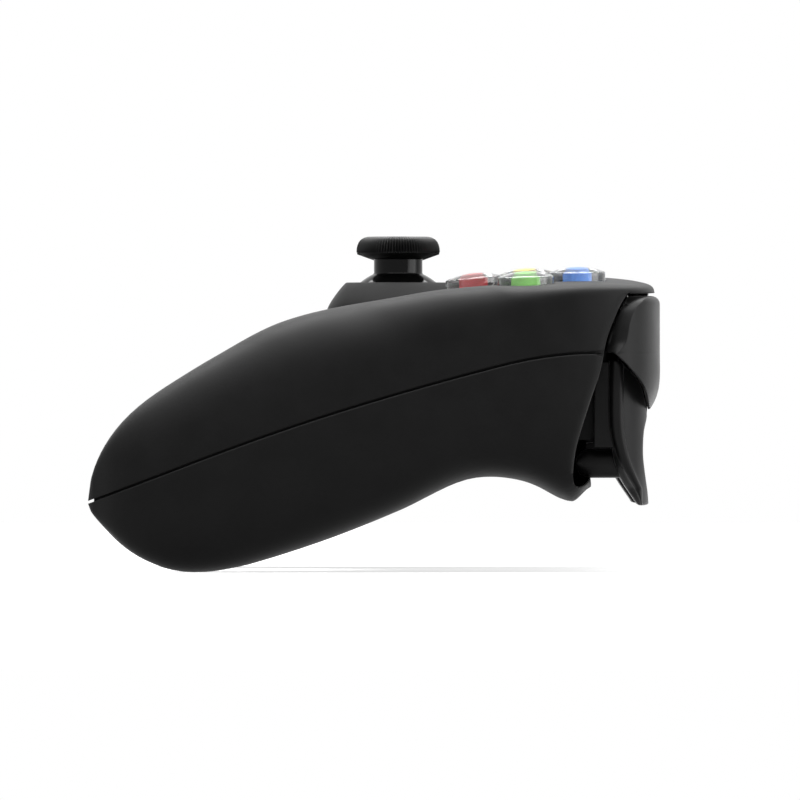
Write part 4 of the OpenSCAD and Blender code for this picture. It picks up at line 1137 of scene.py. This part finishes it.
def clear_cap(name, place, foot, top):
    """Cap with a flange, a straight wall, a bevelled shoulder and a low dome, hollow for its core."""
    bore, roof, r = CORE_RADIUS - CORE_BITE, top - CAP_ROOF, BUTTON_RADIUS
    shoulder, flange, wide = top - SHOULDER_DROP, foot + FLANGE_HEIGHT, r + FLANGE_WIDTH
    dome_foot, dome_height = shoulder + DOME_LIFT, SHOULDER_DROP - DOME_LIFT
    profile = [((r - 0.3) * t, dome_foot + dome_height * (1 - t * t)) for t in stretch(0, 1, 20)]
    profile += [(r - 0.2, shoulder), (r - 0.06, shoulder - 0.1), (r, shoulder - 0.25)]
    profile += [(r, flange), (wide, flange), (wide, foot), (bore, foot), (bore, roof), (0, roof)]
    obj = lathe(name + "_cap_lens", profile, place)
    lean(obj, place, foot, roof)
    finish_piece(obj, name + "_button", clear_paint, [name + "_cap"], 40)


def colour_core(name, place, foot, top):
    """Core that fills the cap's bore, so that no air shows between them."""
    roof = top - CAP_ROOF + CORE_BITE
    profile = [(0, foot), (CORE_RADIUS, foot), (CORE_RADIUS, roof), (0, roof)]
    obj = lathe(name + "_core_body", profile, place, 64)
    lean(obj, place, foot, roof)
    finish_piece(obj, name + "_button", core_paints[name], [name + "_core"], 40)


for name, place in BUTTON_PLACES.items():
    top = surface_height(*place) + BUTTON_STAND
    foot = flange_top(place, BUTTON_RADIUS) - FLANGE_HEIGHT
    clear_cap(name, place, foot, top)
    colour_core(name, place, foot, top)

# Direction pad, select and start

PAD_UNDER = -1.5
PAD_BEVEL = 0.3
# Rounded top edge of the direction pad, as (inset, depth below its top)
PAD_EDGE = [(0, 0.9), (0.1, 0.45), (0.35, 0.12), (0.8, 0)]
MENU_STAND = 0.3
MENU_TRAVEL = 0.6
MENU_STEM = 1.5
MENU_DOME = 0.06
SWITCH_HEIGHT = 2.5
SWITCH_GAP = 0.1


def direction_pad():
    top = surface_height(*CLUSTER) + PAD_STAND - PAD_PIVOT
    sections = [(-PAD_BEVEL, PAD_UNDER), (0, PAD_UNDER + PAD_BEVEL)]
    sections += [(-inset, top - drop) for inset, drop in PAD_EDGE]
    rings = [[pad_point(x, y, z) for x, y in cross_outline(grow)] for grow, z in sections]
    obj = loft("direction_pad_cross", rings)
    finish_piece(obj, "pad", shoulder_paint, ["direction_pad"], 30)


def menu_button(side, name):
    """Small round button: a stem on its switch, a flange under the case and a low dome."""
    top = surface_height(MENU_X, CLUSTER[1]) + MENU_STAND
    shoulder = flange_top((MENU_X, CLUSTER[1]), MENU_RADIUS)
    under = shoulder - FLANGE_HEIGHT
    foot = BOARD_TOP + SWITCH_HEIGHT + MENU_TRAVEL + SWITCH_GAP
    r = MENU_RADIUS
    profile = [(AXIS_RADIUS, foot), (MENU_STEM, foot), (MENU_STEM, under), (r + FLANGE_WIDTH, under)]
    profile += [(r + FLANGE_WIDTH, shoulder), (r, shoulder)]
    profile += [(r, top - 0.5), (r - 0.12, top - 0.22), (r - 0.4, top - MENU_DOME)]
    profile += [(t, top - MENU_DOME * (t / r) ** 2) for t in stretch(r - 0.7, AXIS_RADIUS, 6)]
    obj = lathe(name + "_button_body", profile, (side * MENU_X, CLUSTER[1]), 64)
    finish_piece(obj, name, shoulder_paint, [name + "_button"], 40)


direction_pad()
menu_button(1, "start")
menu_button(-1, "select")

# CAD nodes that keep their shape and get a finish

NODE_PAINTS = {
    steel_paint: ["case_screws", "board_screws", "charging_socket", "pad_ball", "stick_ring", "stick_frame",
                  "stick_spring", "trigger_pin", "trigger_spring", "motor"],
    board_paint: ["main_board"],
    battery_paint: ["battery"],
    switch_paint: ["menu_switches", "bumper_switch"],
    rubber_paint: ["button_mat", "pad_mat"],
    bracket_paint: ["bracket", "pad_post"],
    brass_paint: ["motor_weight"],
}
for paint, names in NODE_PAINTS.items():
    for node_name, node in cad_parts.items():
        if node_name.removeprefix("right_").removeprefix("left_") in names:
            node.data.materials.clear()
            node.data.materials.append(paint)

# Stage: pale floor, soft studio light, camera at the photo's angle

WHITE = (1, 1, 1, 1)
FLOOR_HALF = 1.5
FLOOR_COLOUR = (0.85, 0.85, 0.85, 1)
FLOOR_GLOW = 0.65
WORLD_LIGHT = 0.5
WORLD_SEEN = 1.0


def seen_ray(nodes, links):
    """1 for a ray from the camera, or one that shows the surroundings in gloss or through glass."""
    ray = nodes.new("ShaderNodeLightPath")
    either = nodes.new("ShaderNodeMath")
    either.operation = "MAXIMUM"
    seen = nodes.new("ShaderNodeMath")
    seen.operation = "MAXIMUM"
    links.new(ray.outputs["Is Camera Ray"], either.inputs[0])
    links.new(ray.outputs["Is Glossy Ray"], either.inputs[1])
    links.new(either.outputs["Value"], seen.inputs[0])
    links.new(ray.outputs["Is Transmission Ray"], seen.inputs[1])
    return seen.outputs["Value"]


def make_floor():
    """Pale floor that glows where it is seen, so that it fades into the white background."""
    mesh = bpy.data.meshes.new("floor")
    corners = rectangle(-FLOOR_HALF, -FLOOR_HALF, FLOOR_HALF, FLOOR_HALF)
    mesh.from_pydata([(x, y, 0) for x, y in corners], [], [(0, 1, 2, 3)])
    floor = bpy.data.objects.new("floor", mesh)
    bpy.context.scene.collection.objects.link(floor)
    paint, nodes, links, shader = shader_nodes("floor_white")
    shader.inputs["Base Color"].default_value = FLOOR_COLOUR
    shader.inputs["Roughness"].default_value = 0.9
    shader.inputs["Specular IOR Level"].default_value = 0.1
    glow = nodes.new("ShaderNodeEmission")
    glow.inputs["Color"].default_value = WHITE
    glow.inputs["Strength"].default_value = FLOOR_GLOW
    both = nodes.new("ShaderNodeAddShader")
    pick = nodes.new("ShaderNodeMixShader")
    links.new(shader.outputs["BSDF"], both.inputs[0])
    links.new(glow.outputs["Emission"], both.inputs[1])
    links.new(seen_ray(nodes, links), pick.inputs["Fac"])
    links.new(shader.outputs["BSDF"], pick.inputs[1])
    links.new(both.outputs["Shader"], pick.inputs[2])
    links.new(pick.outputs["Shader"], nodes["Material Output"].inputs["Surface"])
    mesh.materials.append(paint)


def make_world():
    """White surroundings that give soft light and show at full white."""
    world = bpy.data.worlds.new("studio")
    bpy.context.scene.world = world
    world.use_nodes = True
    nodes, links = world.node_tree.nodes, world.node_tree.links
    soft = nodes["Background"]
    soft.inputs["Color"].default_value = WHITE
    soft.inputs["Strength"].default_value = WORLD_LIGHT
    seen = nodes.new("ShaderNodeBackground")
    seen.inputs["Color"].default_value = WHITE
    seen.inputs["Strength"].default_value = WORLD_SEEN
    pick = nodes.new("ShaderNodeMixShader")
    links.new(seen_ray(nodes, links), pick.inputs["Fac"])
    links.new(soft.outputs["Background"], pick.inputs[1])
    links.new(seen.outputs["Background"], pick.inputs[2])
    links.new(pick.outputs["Shader"], nodes["World Output"].inputs["Surface"])


def make_light(name, place, target, size, power, sheen_only=False):
    """A soft box; with sheen_only it shows in glossy reflections and lights no colour."""
    data = bpy.data.lights.new(name, "AREA")
    data.shape = "RECTANGLE"
    data.size, data.size_y = size
    data.energy = power
    lamp = bpy.data.objects.new(name, data)
    lamp.location = place
    lamp.visible_diffuse = not sheen_only
    lamp.rotation_euler = (Vector(target) - Vector(place)).to_track_quat("-Z", "Y").to_euler()
    bpy.context.scene.collection.objects.link(lamp)


# The photo: its size, its scale, and the pixel that shows Y = 0 and Z = 0
PIXELS = 800
PIXELS_PER_MM = 5.5
ORIGIN_PIXEL = (374.5, 572)
VIEW_DISTANCE = 4.0
VIEW_CENTRE = (
    0.06,
    (PIXELS / 2 - ORIGIN_PIXEL[0]) / PIXELS_PER_MM * MM,
    (ORIGIN_PIXEL[1] - PIXELS / 2) / PIXELS_PER_MM * MM,
)
SENSOR_WIDTH = 36


def make_camera():
    """Level camera far out on the player's right."""
    data = bpy.data.cameras.new("camera")
    data.sensor_width = SENSOR_WIDTH
    data.lens = SENSOR_WIDTH * VIEW_DISTANCE / (PIXELS / PIXELS_PER_MM * MM)
    data.clip_end = 50
    camera = bpy.data.objects.new("camera", data)
    camera.location = Vector(VIEW_CENTRE) + Vector((VIEW_DISTANCE, 0, 0))
    camera.rotation_euler = (math.pi / 2, 0, math.pi / 2)
    bpy.context.scene.collection.objects.link(camera)
    bpy.context.scene.camera = camera


make_floor()
make_world()
make_light("top_softbox", (-0.1, 0.0, 0.9), (0, 0, 0.03), (0.9, 0.9), 5)
make_light("front_softbox", (0.25, 1.0, 0.35), (0, 0.03, 0.03), (0.8, 0.8), 4)
make_light("top_sheen", (0.0, 0.0, 0.9), (0, 0, 0.03), (1.8, 1.5), 55, sheen_only=True)
make_light("front_sheen", (0.45, 1.1, 0.2), (0.05, 0.03, 0.03), (0.9, 0.9), 8, sheen_only=True)
make_camera()
bpy.context.scene.view_settings.view_transform = "Standard"
